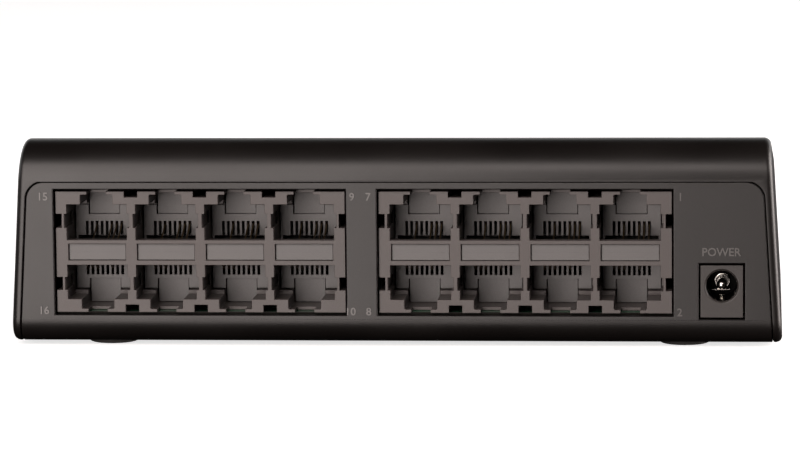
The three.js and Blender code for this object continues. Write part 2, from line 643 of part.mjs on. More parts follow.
FEET.forEach((place, index) => {
  const foot = rod(FOOT_RADIUS, place, 0, FOOT_THICKNESS, 24);
  piece(`rubber_foot_${index + 1}`, foot, RUBBER, [0, 0, 0], networkSwitch);
});
POSTS.forEach((place, index) => {
  const headLow = SCREW_SEAT - JOINT_GAP - SCREW_HEAD_HEIGHT;
  const length = SCREW_LENGTH - headLow - SCREW_HEAD_HEIGHT;
  piece(`case_screw_${index + 1}`, screw(place, headLow, length), STEEL);
});
BOARD_SCREWS.forEach((place, index) => {
  piece(`board_screw_${index + 1}`, boardScrew(place), STEEL);
});
const label = box([-LABEL.width / 2, -LABEL.depth / 2, 0], [LABEL.width / 2, LABEL.depth / 2, LABEL.thickness]);
piece("rating_label", label, LABEL_SILVER, [0, LABEL.y, 0]);

// Port numbers run from the right: odd on top, even below. The left bank holds 9 to 16, the right bank 1 to 8.
BLOCK_X.forEach((x, bank) => {
  const blockGroup = new THREE.Group();
  blockGroup.position.set(x, BLOCK.setBack - HALF_DEPTH, BOARD_TOP + SEAT_GAP);
  lifted.add(blockGroup);
  const sideName = ["left", "right"][bank];
  piece(`jack_housing_${sideName}`, jackHousing(), JACK_BLACK, [0, 0, 0], blockGroup);
  for (let column = 0; column < COLUMNS; column += 1) {
    const place = [columnX(column), 0, 0];
    const pair = 2 * COLUMNS - (bank * COLUMNS + column);
    const upperPort = String(2 * pair - 1).padStart(2, "0");
    const lowerPort = String(2 * pair).padStart(2, "0");
    piece(`jack_insert_${pair}`, jackInsert(), JACK_BLACK, place, blockGroup);
    piece(`port_${upperPort}_contacts`, portContacts(UPPER_WIRES, 1), CONTACT_GOLD, place, blockGroup);
    piece(`port_${lowerPort}_contacts`, portContacts(LOWER_WIRES, -1), CONTACT_GOLD, place, blockGroup);
  }
});

const powerPlace = [POWER.x, POWER.setBack - HALF_DEPTH, 0];
piece("power_jack_housing", powerJackHousing(), JACK_BLACK, powerPlace);
piece("power_jack_pin", powerJackPin(), NICKEL, powerPlace);
piece("power_jack_spring", powerJackSpring(), NICKEL, powerPlace);

const boardTop = BOARD_TOP + SEAT_GAP;
TRANSFORMER_PLACES.forEach((place, index) => {
  piece(`transformer_${index + 1}`, leadedPackage(TRANSFORMER), CHIP_BLACK, [...place, boardTop]);
});
piece("switch_chip", leadedPackage(SWITCH_CHIP), CHIP_BLACK, [...CHIP_PLACE, boardTop]);
const sinkSeat = boardTop + SWITCH_CHIP.height + SEAT_GAP;
piece("heat_sink", heatSink(), HEAT_SINK_BLACK, [...CHIP_PLACE, sinkSeat]);
piece("memory_chip", leadedPackage(MEMORY_CHIP), CHIP_BLACK, [...MEMORY_PLACE, boardTop]);
piece("crystal", crystal(), NICKEL, [...CRYSTAL_PLACE, boardTop]);
piece("power_inductor", inductor(), CHIP_BLACK, [...INDUCTOR_PLACE, boardTop]);
piece("regulator", regulator(), CHIP_BLACK, [...REGULATOR_PLACE, boardTop]);
CAPACITOR_PLACES.forEach((place, index) => {
  piece(`capacitor_${index + 1}`, capacitor(), NICKEL, [...place, boardTop]);
});

export default networkSwitch;
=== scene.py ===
# %% [markdown]
# # A sixteen-port desktop switch
# A desktop network switch is a wedge-shaped plastic case around one circuit board. The rear panel shows two
# banks of stacked network jacks and a round power jack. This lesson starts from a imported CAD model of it,
# which is already right in size, place and motion, and gives each visible part the soft edges, fine detail
# and finish that a real moulding has. The CAD model is only read, never moved: each new piece is made in
# the same frame, in millimetres turned into metres, and then rides on the CAD body that it belongs to.

# %% Load the frame
import json
import math

import bmesh
import bpy
from mathutils import Matrix, Vector


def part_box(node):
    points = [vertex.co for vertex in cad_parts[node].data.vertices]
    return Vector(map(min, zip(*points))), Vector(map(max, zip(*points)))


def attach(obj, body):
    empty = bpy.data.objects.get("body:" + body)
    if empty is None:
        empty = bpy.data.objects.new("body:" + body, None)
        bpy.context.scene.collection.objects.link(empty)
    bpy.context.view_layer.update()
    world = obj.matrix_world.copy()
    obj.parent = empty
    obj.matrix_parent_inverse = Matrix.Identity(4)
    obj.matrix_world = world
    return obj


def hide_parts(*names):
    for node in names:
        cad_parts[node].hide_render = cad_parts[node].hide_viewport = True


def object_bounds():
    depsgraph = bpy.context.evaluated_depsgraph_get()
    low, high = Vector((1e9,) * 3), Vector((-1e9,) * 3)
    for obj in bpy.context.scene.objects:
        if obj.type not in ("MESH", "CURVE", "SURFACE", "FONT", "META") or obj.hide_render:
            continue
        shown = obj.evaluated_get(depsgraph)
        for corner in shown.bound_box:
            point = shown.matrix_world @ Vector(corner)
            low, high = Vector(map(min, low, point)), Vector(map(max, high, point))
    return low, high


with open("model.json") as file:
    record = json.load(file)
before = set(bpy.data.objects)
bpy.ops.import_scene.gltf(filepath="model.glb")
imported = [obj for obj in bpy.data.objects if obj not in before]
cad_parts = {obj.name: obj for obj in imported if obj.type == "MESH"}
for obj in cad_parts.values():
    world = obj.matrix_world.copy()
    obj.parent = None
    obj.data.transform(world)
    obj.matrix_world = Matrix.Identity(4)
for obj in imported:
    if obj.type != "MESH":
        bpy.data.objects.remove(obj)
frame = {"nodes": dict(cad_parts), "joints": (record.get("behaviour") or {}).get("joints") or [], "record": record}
CAD_BOX = [list(corner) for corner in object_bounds()]
MM = 0.001
print("CAD box in mm:", [[round(value / MM, 2) for value in corner] for corner in CAD_BOX])


def box_mm(node):
    """A CAD node's lowest and highest corners, in millimetres."""
    return [Vector(corner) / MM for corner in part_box(node)]


# %% [markdown]
# ## Camera
# A product shot of a long flat object is taken from near, a little above it, with a long lens, so that both
# end walls hide behind the rim and the top stays out of sight. The camera here looks at the port side from
# slightly right of the middle. Its place is worked out from the rear panel's middle and two angles.

# %% Camera
PANEL_Y = CAD_BOX[0][1] / MM
PANEL_MIDDLE = Vector((0.0, PANEL_Y, 20.8))
CAMERA_AZIMUTH = 5.24
CAMERA_ELEVATION = 7.06
CAMERA_DISTANCE = 820.0
CAMERA_ROLL = -0.56
LENS_MM = 184.75
AIM_OFFSET = Vector((1.5, 0.0, 1.73))


def from_angles(azimuth, elevation, distance):
    """The offset of a point at those angles in degrees; azimuth 0 is in front of the ports."""
    around, up = math.radians(azimuth), math.radians(elevation)
    flat = distance * math.cos(up)
    return Vector((flat * math.sin(around), -flat * math.cos(around), distance * math.sin(up)))


def look_from(obj, place, target):
    """Puts an object at a place and points its -Z axis at a target, both in millimetres."""
    obj.location = place * MM
    obj.rotation_euler = (target - place).to_track_quat("-Z", "Y").to_euler()


camera = bpy.data.objects.new("camera", bpy.data.cameras.new("camera"))
bpy.context.scene.collection.objects.link(camera)
bpy.context.scene.camera = camera
camera.data.lens = LENS_MM
camera.data.clip_start = 0.05
camera_place = PANEL_MIDDLE + from_angles(CAMERA_AZIMUTH, CAMERA_ELEVATION, CAMERA_DISTANCE)
look_from(camera, camera_place, PANEL_MIDDLE + AIM_OFFSET)
camera.rotation_euler.rotate_axis("Z", math.radians(CAMERA_ROLL))
print("camera at", [round(value, 1) for value in camera_place], "mm")

# %% [markdown]
# ## Light
# Black plastic shows almost nothing but what it mirrors, so the light is built for its reflections. One tall
# soft panel stands to the left behind the camera and lights the flat rear panel and the ports. A wide, low
# one hangs higher up, where the roll of the top edge mirrors it, and a third at the right draws the right
# rim. The sky is pale low down behind the object, for the thin bright rims, and black overhead and below,
# which gives the dark bands along the rounded edges. The camera sees a plain pale backdrop all round. The
# floor is plain and pale and catches shadows, but it is kept out of the reflections, so that the lower edge
# stays dark.

# %% Sky, lights and floor
BACKDROP = 0.95
WARM = (1.0, 0.90, 0.86)
SKY_STRENGTH = 1.25
RISE_START, RISE_END = -0.04, 0.02
FADE_START, FADE_END = 0.20, 0.66
BEHIND_START, BEHIND_END = -0.40, 0.05
FLOOR_RADIUS_M = 6.0
FLOOR_SHADE = 0.82
FLOOR_GLOW = 0.70
WHITE = (1.0, 1.0, 1.0, 1.0)


def ramp(nodes, links, source, start, end, low, high):
    """A smooth step of a value between two limits."""
    step = nodes.new("ShaderNodeMapRange")
    step.interpolation_type = "SMOOTHSTEP"
    for name, value in (("From Min", start), ("From Max", end), ("To Min", low), ("To Max", high)):
        step.inputs[name].default_value = value
    links.new(source, step.inputs["Value"])
    return step.outputs["Result"]


def product(nodes, links, first, second):
    """One value times another."""
    times = nodes.new("ShaderNodeMath")
    times.operation = "MULTIPLY"
    links.new(first, times.inputs[0])
    links.new(second, times.inputs[1])
    return times.outputs["Value"]


def make_sky():
    """A sky that lights from low down and behind, in front of an even pale backdrop."""
    world = bpy.data.worlds.new("studio")
    world.use_nodes = True
    nodes, links = world.node_tree.nodes, world.node_tree.links
    direction = nodes.new("ShaderNodeTexCoord")
    split = nodes.new("ShaderNodeSeparateXYZ")
    links.new(direction.outputs["Generated"], split.inputs["Vector"])
    rise = ramp(nodes, links, split.outputs["Z"], RISE_START, RISE_END, 0.0, 1.0)
    fade = ramp(nodes, links, split.outputs["Z"], FADE_START, FADE_END, 1.0, 0.0)
    behind = ramp(nodes, links, split.outputs["Y"], BEHIND_START, BEHIND_END, 0.0, SKY_STRENGTH)
    light = product(nodes, links, product(nodes, links, rise, fade), behind)
    seen = nodes.new("ShaderNodeMix")
    links.new(nodes.new("ShaderNodeLightPath").outputs["Is Camera Ray"], seen.inputs["Factor"])
    links.new(light, seen.inputs["A"])
    seen.inputs["B"].default_value = BACKDROP
    links.new(seen.outputs["Result"], nodes["Background"].inputs["Strength"])
    nodes["Background"].inputs["Color"].default_value = WHITE
    bpy.context.scene.world = world


def soft_panel(name, azimuth, elevation, distance, width, height, power):
    """A rectangular studio light that faces the rear panel, itself out of the camera's sight."""
    light = bpy.data.lights.new(name, "AREA")
    light.shape = "RECTANGLE"
    light.size, light.size_y = width * MM, height * MM
    light.energy = power
    light.color = WARM
    panel = bpy.data.objects.new(name, light)
    bpy.context.scene.collection.objects.link(panel)
    look_from(panel, PANEL_MIDDLE + from_angles(azimuth, elevation, distance), PANEL_MIDDLE)
    panel.visible_camera = False


make_sky()
soft_panel("key_panel", azimuth=-22, elevation=2, distance=1700, width=1200, height=1700, power=31.0)
soft_panel("top_panel", azimuth=-14, elevation=39, distance=1600, width=2200, height=450, power=15.0)
soft_panel("right_panel", azimuth=98, elevation=10, distance=1100, width=900, height=1000, power=22.0)
bpy.context.scene.view_settings.view_transform = "Standard"
bpy.context.scene.view_settings.look = "None"


def make_floor():
    """A large pale disc just under the feet, with its own faint glow so that it stays pale."""
    mesh = bpy.data.meshes.new("floor")
    shape = bmesh.new()
    bmesh.ops.create_circle(shape, cap_ends=True, segments=96, radius=FLOOR_RADIUS_M)
    shape.to_mesh(mesh)
    shape.free()
    floor = bpy.data.objects.new("floor", mesh)
    bpy.context.scene.collection.objects.link(floor)
    finish = bpy.data.materials.new("floor_paper")
    finish.use_nodes = True
    shader = finish.node_tree.nodes["Principled BSDF"]
    shader.inputs["Base Color"].default_value = (FLOOR_SHADE, FLOOR_SHADE, FLOOR_SHADE, 1.0)
    shader.inputs["Roughness"].default_value = 0.9
    shader.inputs["Specular IOR Level"].default_value = 0.1
    shader.inputs["Emission Color"].default_value = WHITE
    shader.inputs["Emission Strength"].default_value = FLOOR_GLOW
    mesh.materials.append(finish)
    floor.visible_diffuse = False
    floor.visible_glossy = False
    floor.visible_shadow = False


make_floor()

# %% [markdown]
# ## Finishes
# A moulded case isn't one flat colour. The mould is spark-eroded, which leaves a fine matt grain, and
# handling leaves faint smears that change the gloss more than the colour. Each finish below is a Principled
# shader whose colour, roughness and bump come from noise on object coordinates, so that the grain has one
# real size everywhere and stays still as parts move.

# %% A helper for grained finishes
def noise(nodes, links, source, scale, detail, stretch=None):
    """A noise texture on object coordinates; scale is in features per metre."""
    texture = nodes.new("ShaderNodeTexNoise")
    texture.inputs["Scale"].default_value = scale
    texture.inputs["Detail"].default_value = detail
    if stretch:
        mapping = nodes.new("ShaderNodeMapping")
        mapping.inputs["Scale"].default_value = stretch
        links.new(source, mapping.inputs["Vector"])
        source = mapping.outputs["Vector"]
    links.new(source, texture.inputs["Vector"])
    return texture.outputs["Fac"]


def spread(nodes, links, source, low, high, start=0.3, end=0.7):
    """Maps a noise from start..end to low..high."""
    ranged = nodes.new("ShaderNodeMapRange")
    for name, value in (("From Min", start), ("From Max", end), ("To Min", low), ("To Max", high)):
        ranged.inputs[name].default_value = value
    links.new(source, ranged.inputs["Value"])
    return ranged.outputs["Result"]


def grained(name, dark, light, gloss, grain, grain_depth, smear=35.0, metal=0.0, ior=1.5, stretch=None):
    """A finish that varies between two colours, with a range of roughness and a fine grain of bump.

    gloss is (lowest, highest) roughness, grain is the grain's size in mm, grain_depth its height in mm.
    """
    material = bpy.data.materials.new(name)
    material.use_nodes = True
    nodes, links = material.node_tree.nodes, material.node_tree.links
    shader = nodes["Principled BSDF"]
    place = nodes.new("ShaderNodeTexCoord").outputs["Object"]
    fine = noise(nodes, links, place, 1 / (grain * MM), 2.0, stretch)
    broad = noise(nodes, links, place, smear, 4.0)
    mixed = nodes.new("ShaderNodeMix")
    mixed.data_type = "RGBA"
    mixed.inputs["A"].default_value = (*dark, 1.0)
    mixed.inputs["B"].default_value = (*light, 1.0)
    blend = nodes.new("ShaderNodeMath")
    blend.operation = "MULTIPLY_ADD"
    blend.inputs[1].default_value = 0.5
    links.new(spread(nodes, links, fine, 0.0, 1.0), blend.inputs[0])
    links.new(spread(nodes, links, broad, 0.0, 0.5), blend.inputs[2])
    links.new(blend.outputs["Value"], mixed.inputs["Factor"])
    links.new(mixed.outputs["Result"], shader.inputs["Base Color"])
    links.new(spread(nodes, links, broad, *gloss), shader.inputs["Roughness"])
    bump = nodes.new("ShaderNodeBump")
    bump.inputs["Strength"].default_value = 1.0
    bump.inputs["Distance"].default_value = grain_depth * MM
    links.new(fine, bump.inputs["Height"])
    links.new(bump.outputs["Normal"], shader.inputs["Normal"])
    shader.inputs["Metallic"].default_value = metal
    shader.inputs["IOR"].default_value = ior
    return material


# %% The switch's finishes
CASE = grained("case_plastic", (0.0035, 0.0028, 0.0026), (0.008, 0.0065, 0.006), (0.33, 0.40), 0.30, 0.006)
# The raised lettering is glossier than the case, and its lighter grey is a painted highlight on the raised
# characters.
LETTERING_GLOSS_AND_HIGHLIGHT = grained(
    "lettering_gloss_and_painted_highlight", (0.085, 0.081, 0.079), (0.11, 0.105, 0.103), (0.2, 0.28), 0.3, 0.001
)
JACK = grained("jack_plastic", (0.055, 0.047, 0.045), (0.085, 0.073, 0.07), (0.38, 0.48), 0.2, 0.002)
INSERT = grained("insert_plastic", (0.09, 0.086, 0.086), (0.13, 0.125, 0.124), (0.4, 0.5), 0.2, 0.002)
POWER_BLACK = grained(
    "power_jack_plastic", (0.02, 0.017, 0.016), (0.034, 0.03, 0.028), (0.34, 0.42), 0.25, 0.002
)
GOLD = grained(
    "contact_plating", (0.12, 0.08, 0.035), (0.24, 0.165, 0.075), (0.22, 0.34), 0.15, 0.001, metal=1.0
)
NICKEL = grained("power_plating", (0.62, 0.6, 0.56), (0.85, 0.83, 0.79), (0.12, 0.22), 0.3, 0.001, metal=1.0)
RUBBER = grained("foot_rubber", (0.006, 0.006, 0.006), (0.016, 0.016, 0.015), (0.7, 0.9), 0.25, 0.02)
STEEL = grained("screw_steel", (0.32, 0.32, 0.33), (0.55, 0.55, 0.54), (0.25, 0.4), 0.2, 0.003, metal=1.0)
LAMINATE = grained("board_laminate", (0.008, 0.05, 0.025), (0.02, 0.1, 0.05), (0.2, 0.35), 0.5, 0.004)
SMOKED = grained("lens_plastic", (0.006, 0.004, 0.004), (0.014, 0.009, 0.009), (0.06, 0.12), 2.0, 0.0005)
FILM = grained(
    "label_film", (0.38, 0.38, 0.37), (0.46, 0.46, 0.44), (0.3, 0.45), 0.12, 0.001, stretch=(1, 25, 1)
)
FINS = grained(
    "heat_sink_aluminium", (0.02, 0.02, 0.022), (0.05, 0.05, 0.055), (0.35, 0.5), 0.2, 0.002, metal=0.8
)
CAN = grained("can_metal", (0.5, 0.5, 0.5), (0.72, 0.72, 0.72), (0.25, 0.35), 0.15, 0.001, metal=1.0)
CHIP = grained("chip_moulding", (0.012, 0.012, 0.012), (0.025, 0.025, 0.025), (0.5, 0.65), 0.12, 0.004)
DIFFUSER = grained("light_pipe", (0.2, 0.22, 0.2), (0.3, 0.32, 0.3), (0.3, 0.4), 0.3, 0.001)
SLOT_FINISH = {
    "case_plastic": CASE,
    "jack_plastic": JACK,
    "insert_plastic": INSERT,
    "power_jack_plastic": POWER_BLACK,
    "contact_plating": GOLD,
    "power_plating": NICKEL,
    "foot_rubber": RUBBER,
    "screw_steel": STEEL,
    "board_laminate": LAMINATE,
    "lens_plastic": SMOKED,
    "label_film": FILM,
    "heat_sink_aluminium": FINS,
    "can_metal": CAN,
    "chip_moulding": CHIP,
}
print(len(SLOT_FINISH), "finishes")

# %% [markdown]
# ## Painted shade that changes with depth
# The board is coated green on its faces. Its cut edge shows through the lower ports' latch slots, and is painted
# near black: partly the bare edge's own darker colour, mostly painted shade. The power jack's bore is painted
# deeper black than its face, as painted shade inside the hole. Each stays one material: a ramp on the object's own
# y blends a second colour in past a given depth, and turns the shine down there.

# %% A second colour with depth, for painted shade
# Painted shade on the board's cut edge: a near-black tone and low shine, partly its bare colour, mostly shade.
EDGE_DARK_AND_SHADE = (0.006, 0.005, 0.004, 1.0)
EDGE_SHADE_SHINE = 0.1
EDGE_SHADE_BAND = 0.03
# Painted shade in the power jack's bore: darker and less shiny past a small depth behind the face.
BORE_PAINTED_SHADE = (0.002, 0.0018, 0.0017, 1.0)
BORE_SHADE_SHINE = 0.04
BORE_SHADE_DEPTH, BORE_SHADE_BLEND = 0.5, 0.2


def paint_shade_with_depth(material, start, end, colour, shine):
    """Paints shade into a finish: another colour and shine where y, in mm, goes from start to past end."""
    nodes, links = material.node_tree.nodes, material.node_tree.links
    shader = nodes["Principled BSDF"]
    place = nodes.new("ShaderNodeSeparateXYZ")
    links.new(nodes.new("ShaderNodeTexCoord").outputs["Object"], place.inputs["Vector"])
    there = ramp(nodes, links, place.outputs["Y"], start * MM, end * MM, 0.0, 1.0)
    mix = nodes.new("ShaderNodeMix")
    mix.data_type = "RGBA"
    links.new(shader.inputs["Base Color"].links[0].from_socket, mix.inputs["A"])
    mix.inputs["B"].default_value = colour
    links.new(there, mix.inputs["Factor"])
    links.new(mix.outputs["Result"], shader.inputs["Base Color"])
    usual = shader.inputs["Specular IOR Level"].default_value
    links.new(ramp(nodes, links, there, 0.0, 1.0, usual, shine), shader.inputs["Specular IOR Level"])


BOARD_EDGE = box_mm("circuit_board")[0].y
BORE_SHADE_START = box_mm("power_jack_housing")[0].y + BORE_SHADE_DEPTH
# The board's cut edge is darkened to near black and made duller: partly its own bare colour, mostly painted shade.
paint_shade_with_depth(LAMINATE, BOARD_EDGE + 2 * EDGE_SHADE_BAND, BOARD_EDGE + EDGE_SHADE_BAND, EDGE_DARK_AND_SHADE, EDGE_SHADE_SHINE)
# The jack's bore is painted shade: past a little depth the same black plastic is made darker and less shiny.
paint_shade_with_depth(POWER_BLACK, BORE_SHADE_START, BORE_SHADE_START + BORE_SHADE_BLEND, BORE_PAINTED_SHADE, BORE_SHADE_SHINE)
print("bare board edge", EDGE_SHADE_BAND, "mm deep, dark bore from", BORE_SHADE_DEPTH, "mm behind the face")

# %% [markdown]
# ## Making shapes
# Moulded parts are mostly pulled outlines with pockets cut into them, so three helpers do most of the work:
# one pulls an outline into a block, one cuts or joins blocks with the Boolean modifier, and one rounds the
# edges with the Bevel modifier. Each modifier's result is taken as a plain mesh before the next step. A
# cutter runs a millimetre or so past the face that it cuts, because two faces in one plane confuse a Boolean.

# %% Helpers for blocks, cuts and soft edges
DOUBLES_MM = 0.002
FLAT_ANGLE = 1


def add_object(name, mesh):
    """A new object at the origin that shows some mesh or text data."""
    obj = bpy.data.objects.new(name, mesh)
    bpy.context.scene.collection.objects.link(obj)
    return obj


def plain_mesh(obj):
    """The evaluated mesh of an object, as new plain mesh data."""
    graph = bpy.context.evaluated_depsgraph_get()
    shown = obj.evaluated_get(graph)
    return bpy.data.meshes.new_from_object(shown, preserve_all_data_layers=True, depsgraph=graph)


def settle(obj):
    """Replaces an object's mesh by its evaluated mesh and removes its modifiers."""
    mesh = plain_mesh(obj)
    obj.modifiers.clear()
    obj.data = mesh
    return obj


def between(p, q):
    """Two numbers, the lower one first."""
    return (min(p, q), max(p, q))


def along(axis, outline, depth):
    """Points in metres of a flat outline in mm, which lies across an axis at a depth."""
    orders = {
        "x": lambda a, b: (depth, a, b),
        "y": lambda a, b: (a, depth, b),
        "z": lambda a, b: (a, b, depth),
    }
    return [Vector(orders[axis](a, b)) * MM for a, b in outline]


def stack_of_rings(name, rings):
    """A closed skin through rings of equal length, with a flat cap at each end."""
    shape = bmesh.new()
    rows = [[shape.verts.new(point) for point in ring] for ring in rings]
    for lower, upper in zip(rows, rows[1:]):
        for index in range(len(lower)):
            after = (index + 1) % len(lower)
            shape.faces.new((lower[index], lower[after], upper[after], upper[index]))
    shape.faces.new(rows[0])
    shape.faces.new(rows[-1])
    bmesh.ops.recalc_face_normals(shape, faces=shape.faces)
    mesh = bpy.data.meshes.new(name)
    shape.to_mesh(mesh)
    shape.free()
    return add_object(name, mesh)


def pulled(axis, outline, low, high, name="cutter"):
    """An outline in mm, pulled along an axis from low to high."""
    return stack_of_rings(name, [along(axis, outline, low), along(axis, outline, high)])


def block(low, high, name="cutter"):
    """A box between two corners in mm."""
    outline = [(low[0], low[1]), (high[0], low[1]), (high[0], high[1]), (low[0], high[1])]
    return pulled("z", outline, low[2], high[2], name)


def merged(parts, name):
    """Several objects as one object, without cutting them."""
    shape = bmesh.new()
    for part in parts:
        shape.from_mesh(part.data)
        bpy.data.objects.remove(part)
    mesh = bpy.data.meshes.new(name)
    shape.to_mesh(mesh)
    shape.free()
    return add_object(name, mesh)


def boolean(body, tools, operation="DIFFERENCE"):
    """Cuts the tools from a body, or joins them to it, one after the other, and removes the tools."""
    for tool in tools:
        modifier = body.modifiers.new("cut", "BOOLEAN")
        modifier.operation = operation
        modifier.solver = "EXACT"
        modifier.object = tool
        settle(body)
        bpy.data.objects.remove(tool)
    return body


def soften(body, width, segments=2, angle=40):
    """Rounds every edge sharper than angle, and shades the faces smoothly up to it."""
    shape = bmesh.new()
    shape.from_mesh(body.data)
    bmesh.ops.remove_doubles(shape, verts=shape.verts, dist=DOUBLES_MM * MM)
    flat = math.radians(FLAT_ANGLE)
    bmesh.ops.dissolve_limit(shape, angle_limit=flat, verts=shape.verts, edges=shape.edges)
    shape.to_mesh(body.data)
    shape.free()
    modifier = body.modifiers.new("edges", "BEVEL")
    modifier.width = width * MM
    modifier.segments = segments
    modifier.limit_method = "ANGLE"
    modifier.angle_limit = math.radians(angle)
    modifier.use_clamp_overlap = False
    modifier.harden_normals = True
    modifier.loop_slide = False
    for face in body.data.polygons:
        face.use_smooth = True
    return settle(body)


def smooth_up_to(piece, angle):
    """Shades a piece smoothly, except at edges sharper than angle."""
    for face in piece.data.polygons:
        face.use_smooth = True
    piece.data.set_sharp_from_angle(angle=math.radians(angle))
    return piece


def arc(middle, radius, start, end, steps):
    """Points on an arc in mm, with its ends, between two angles in degrees."""
    turns = [math.radians(start + (end - start) * step / steps) for step in range(steps + 1)]
    return [(middle[0] + radius * math.cos(t), middle[1] + radius * math.sin(t)) for t in turns]


def finished(piece, finish, nodes, body="root"):
    """Gives a piece its finish, the CAD nodes it stands for and the body it rides on."""
    piece.data.materials.clear()
    piece.data.materials.append(finish)
    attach(piece, body)
    if nodes:
        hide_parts(*nodes)
    print(piece.name, len(piece.data.polygons), "faces")
    return piece


# %% [markdown]
# ## Copies by Geometry Nodes
# Slots, combs, vents, screws and indicator dots repeat at an even pitch. A small Geometry Nodes tree does
# this once for all of them: a line of points, a copy of the input on each point, Realize Instances so that
# the copies are real faces, and Set Material. Its inputs have names, and each use sets them by identifier.

# %% The tree that makes a row of copies
def tree_with(name, inputs):
    """A Geometry Nodes tree with the given (name, socket type) inputs and a geometry output."""
    tree = bpy.data.node_groups.new(name, "GeometryNodeTree")
    for socket, kind in inputs:
        tree.interface.new_socket(socket, in_out="INPUT", socket_type=kind)
    tree.interface.new_socket("Result", in_out="OUTPUT", socket_type="NodeSocketGeometry")
    return tree, tree.nodes.new("NodeGroupInput"), tree.nodes.new("NodeGroupOutput")


def make_row_tree():
    """The tree that copies a piece along a straight line of points."""
    tree, given, result = tree_with(
        "row_of_copies",
        [
            ("Piece", "NodeSocketGeometry"),
            ("Count", "NodeSocketInt"),
            ("Start", "NodeSocketVector"),
            ("Step", "NodeSocketVector"),
            ("Finish", "NodeSocketMaterial"),
        ],
    )
    line = tree.nodes.new("GeometryNodeMeshLine")
    line.mode = "OFFSET"
    copies = tree.nodes.new("GeometryNodeInstanceOnPoints")
    real = tree.nodes.new("GeometryNodeRealizeInstances")
    paint = tree.nodes.new("GeometryNodeSetMaterial")
    link = tree.links.new
    link(given.outputs["Count"], line.inputs["Count"])
    link(given.outputs["Start"], line.inputs["Start Location"])
    link(given.outputs["Step"], line.inputs["Offset"])
    link(line.outputs["Mesh"], copies.inputs["Points"])
    link(given.outputs["Piece"], copies.inputs["Instance"])
    link(copies.outputs["Instances"], real.inputs["Geometry"])
    link(real.outputs["Geometry"], paint.inputs["Geometry"])
    link(given.outputs["Finish"], paint.inputs["Material"])
    link(paint.outputs["Geometry"], result.inputs["Result"])
    return tree


ROW_TREE = make_row_tree()


def run_tree(obj, tree, values):
    """Runs a tree on an object with inputs set by identifier, and keeps the result as a plain mesh."""
    modifier = obj.modifiers.new("nodes", "NODES")
    modifier.node_group = tree
    for item in tree.interface.items_tree:
        if item.in_out == "INPUT" and item.name in values:
            modifier[item.identifier] = values[item.name]
    obj.update_tag()
    return settle(obj)


def row(piece, count, start, step, finish=CASE):
    """Copies of a piece in a row: start and step are in mm."""
    values = {"Count": count, "Start": Vector(start) * MM, "Step": Vector(step) * MM, "Finish": finish}
    return run_tree(piece, ROW_TREE, values)


# %% [markdown]
# ## Case
# The case is a cover, which wraps the top, the front and both sides, over a tray, which carries the floor and
# the rear panel. Seen from the side both follow one outline: an upright rear face that rolls over into the
# top, and a top that falls gently to the front. The side walls lean in a little so that the moulding leaves
# its tool. One function gives the outline at any inset, and a second builds a skin with rounded rims from it.

# %% The case's outline
COVER_LOW, COVER_HIGH = box_mm("upper_cover")
BASE_Z = COVER_LOW.z
CASE_WIDTH = COVER_HIGH.x - COVER_LOW.x
REAR_Y, FRONT_Y = COVER_LOW.y, COVER_HIGH.y
REAR_RADIUS = 8.0
FRONT_RADIUS = 10.0
REAR_FOOT_RADIUS = 5.0
FRONT_FOOT_RADIUS = 3.0
CREASE_Z = COVER_HIGH.z - REAR_RADIUS
TOP_FALL = 8.0
SIDE_DRAFT = 0.058
RIM_RADIUS = 1.3
WALL = 1.8
FLOOR_WALL = 2.0
JOINT_GAP = 0.15
PANEL_CORNER = 3.7


def half_width(z):
    """Half of the case's width at a height, outside."""
    return CASE_WIDTH / 2 - SIDE_DRAFT * (z - BASE_Z)


def side_outline(inset, open_below=False):
    """The case seen from the side, as (y, z) points, moved inwards by inset.

    With open_below both ends run straight down past the underside.
    """
    fall = math.radians(TOP_FALL)
    rear_top = (REAR_Y + REAR_RADIUS, CREASE_Z)
    spread_radius = FRONT_RADIUS - REAR_RADIUS
    front_y = FRONT_Y - FRONT_RADIUS
    run = front_y - rear_top[0] + spread_radius * math.sin(fall)
    front_top = (front_y, CREASE_Z - run * math.tan(fall) - spread_radius * math.cos(fall))
    rear_foot = (REAR_Y + REAR_FOOT_RADIUS, BASE_Z + REAR_FOOT_RADIUS)
    front_foot = (FRONT_Y - FRONT_FOOT_RADIUS, BASE_Z + FRONT_FOOT_RADIUS)
    rear = arc(rear_foot, REAR_FOOT_RADIUS - inset, 270, 180, 10)
    front = arc(front_foot, FRONT_FOOT_RADIUS - inset, 0, -90, 8)
    if open_below:
        rear, front = [(REAR_Y + inset, BASE_Z - 1)], [(FRONT_Y - inset, BASE_Z - 1)]
    return [
        *rear,
        *arc(rear_top, REAR_RADIUS - inset, 180, 90 - TOP_FALL, 20),
        *arc(front_top, FRONT_RADIUS - inset, 90 - TOP_FALL, 0, 18),
        *front,
    ]


def case_skin(name, inset, rim, steps, open_below=False):
    """The case's skin at an inset, with rims of a given radius where it meets the side walls."""
    turns = [math.radians(90 * step / steps) for step in range(steps + 1)]
    rings = []
    for side, order in ((-1, turns), (1, turns[::-1])):
        for turn in order:
            outline = side_outline(inset + rim * (1 - math.sin(turn)), open_below)
            back = inset + rim * (1 - math.cos(turn))
            rings.append([Vector((side * (half_width(z) - back), y, z)) * MM for y, z in outline])
    return stack_of_rings(name, rings)


def panel_outline(inset, low):
    """The rear panel as (x, z) points, with round upper corners, moved inwards by inset."""
    top = CREASE_Z - PANEL_CORNER
    side = half_width(top) - WALL - PANEL_CORNER
    base = half_width(low) - WALL - inset
    return [
        (-base, low),
        (base, low),
        *arc((side, top), PANEL_CORNER - inset, 0, 90, 10),
        *arc((-side, top), PANEL_CORNER - inset, 90, 180, 10),
    ]


print("case", round(CASE_WIDTH, 1), "mm wide, crease at", round(CREASE_Z, 1), "mm")

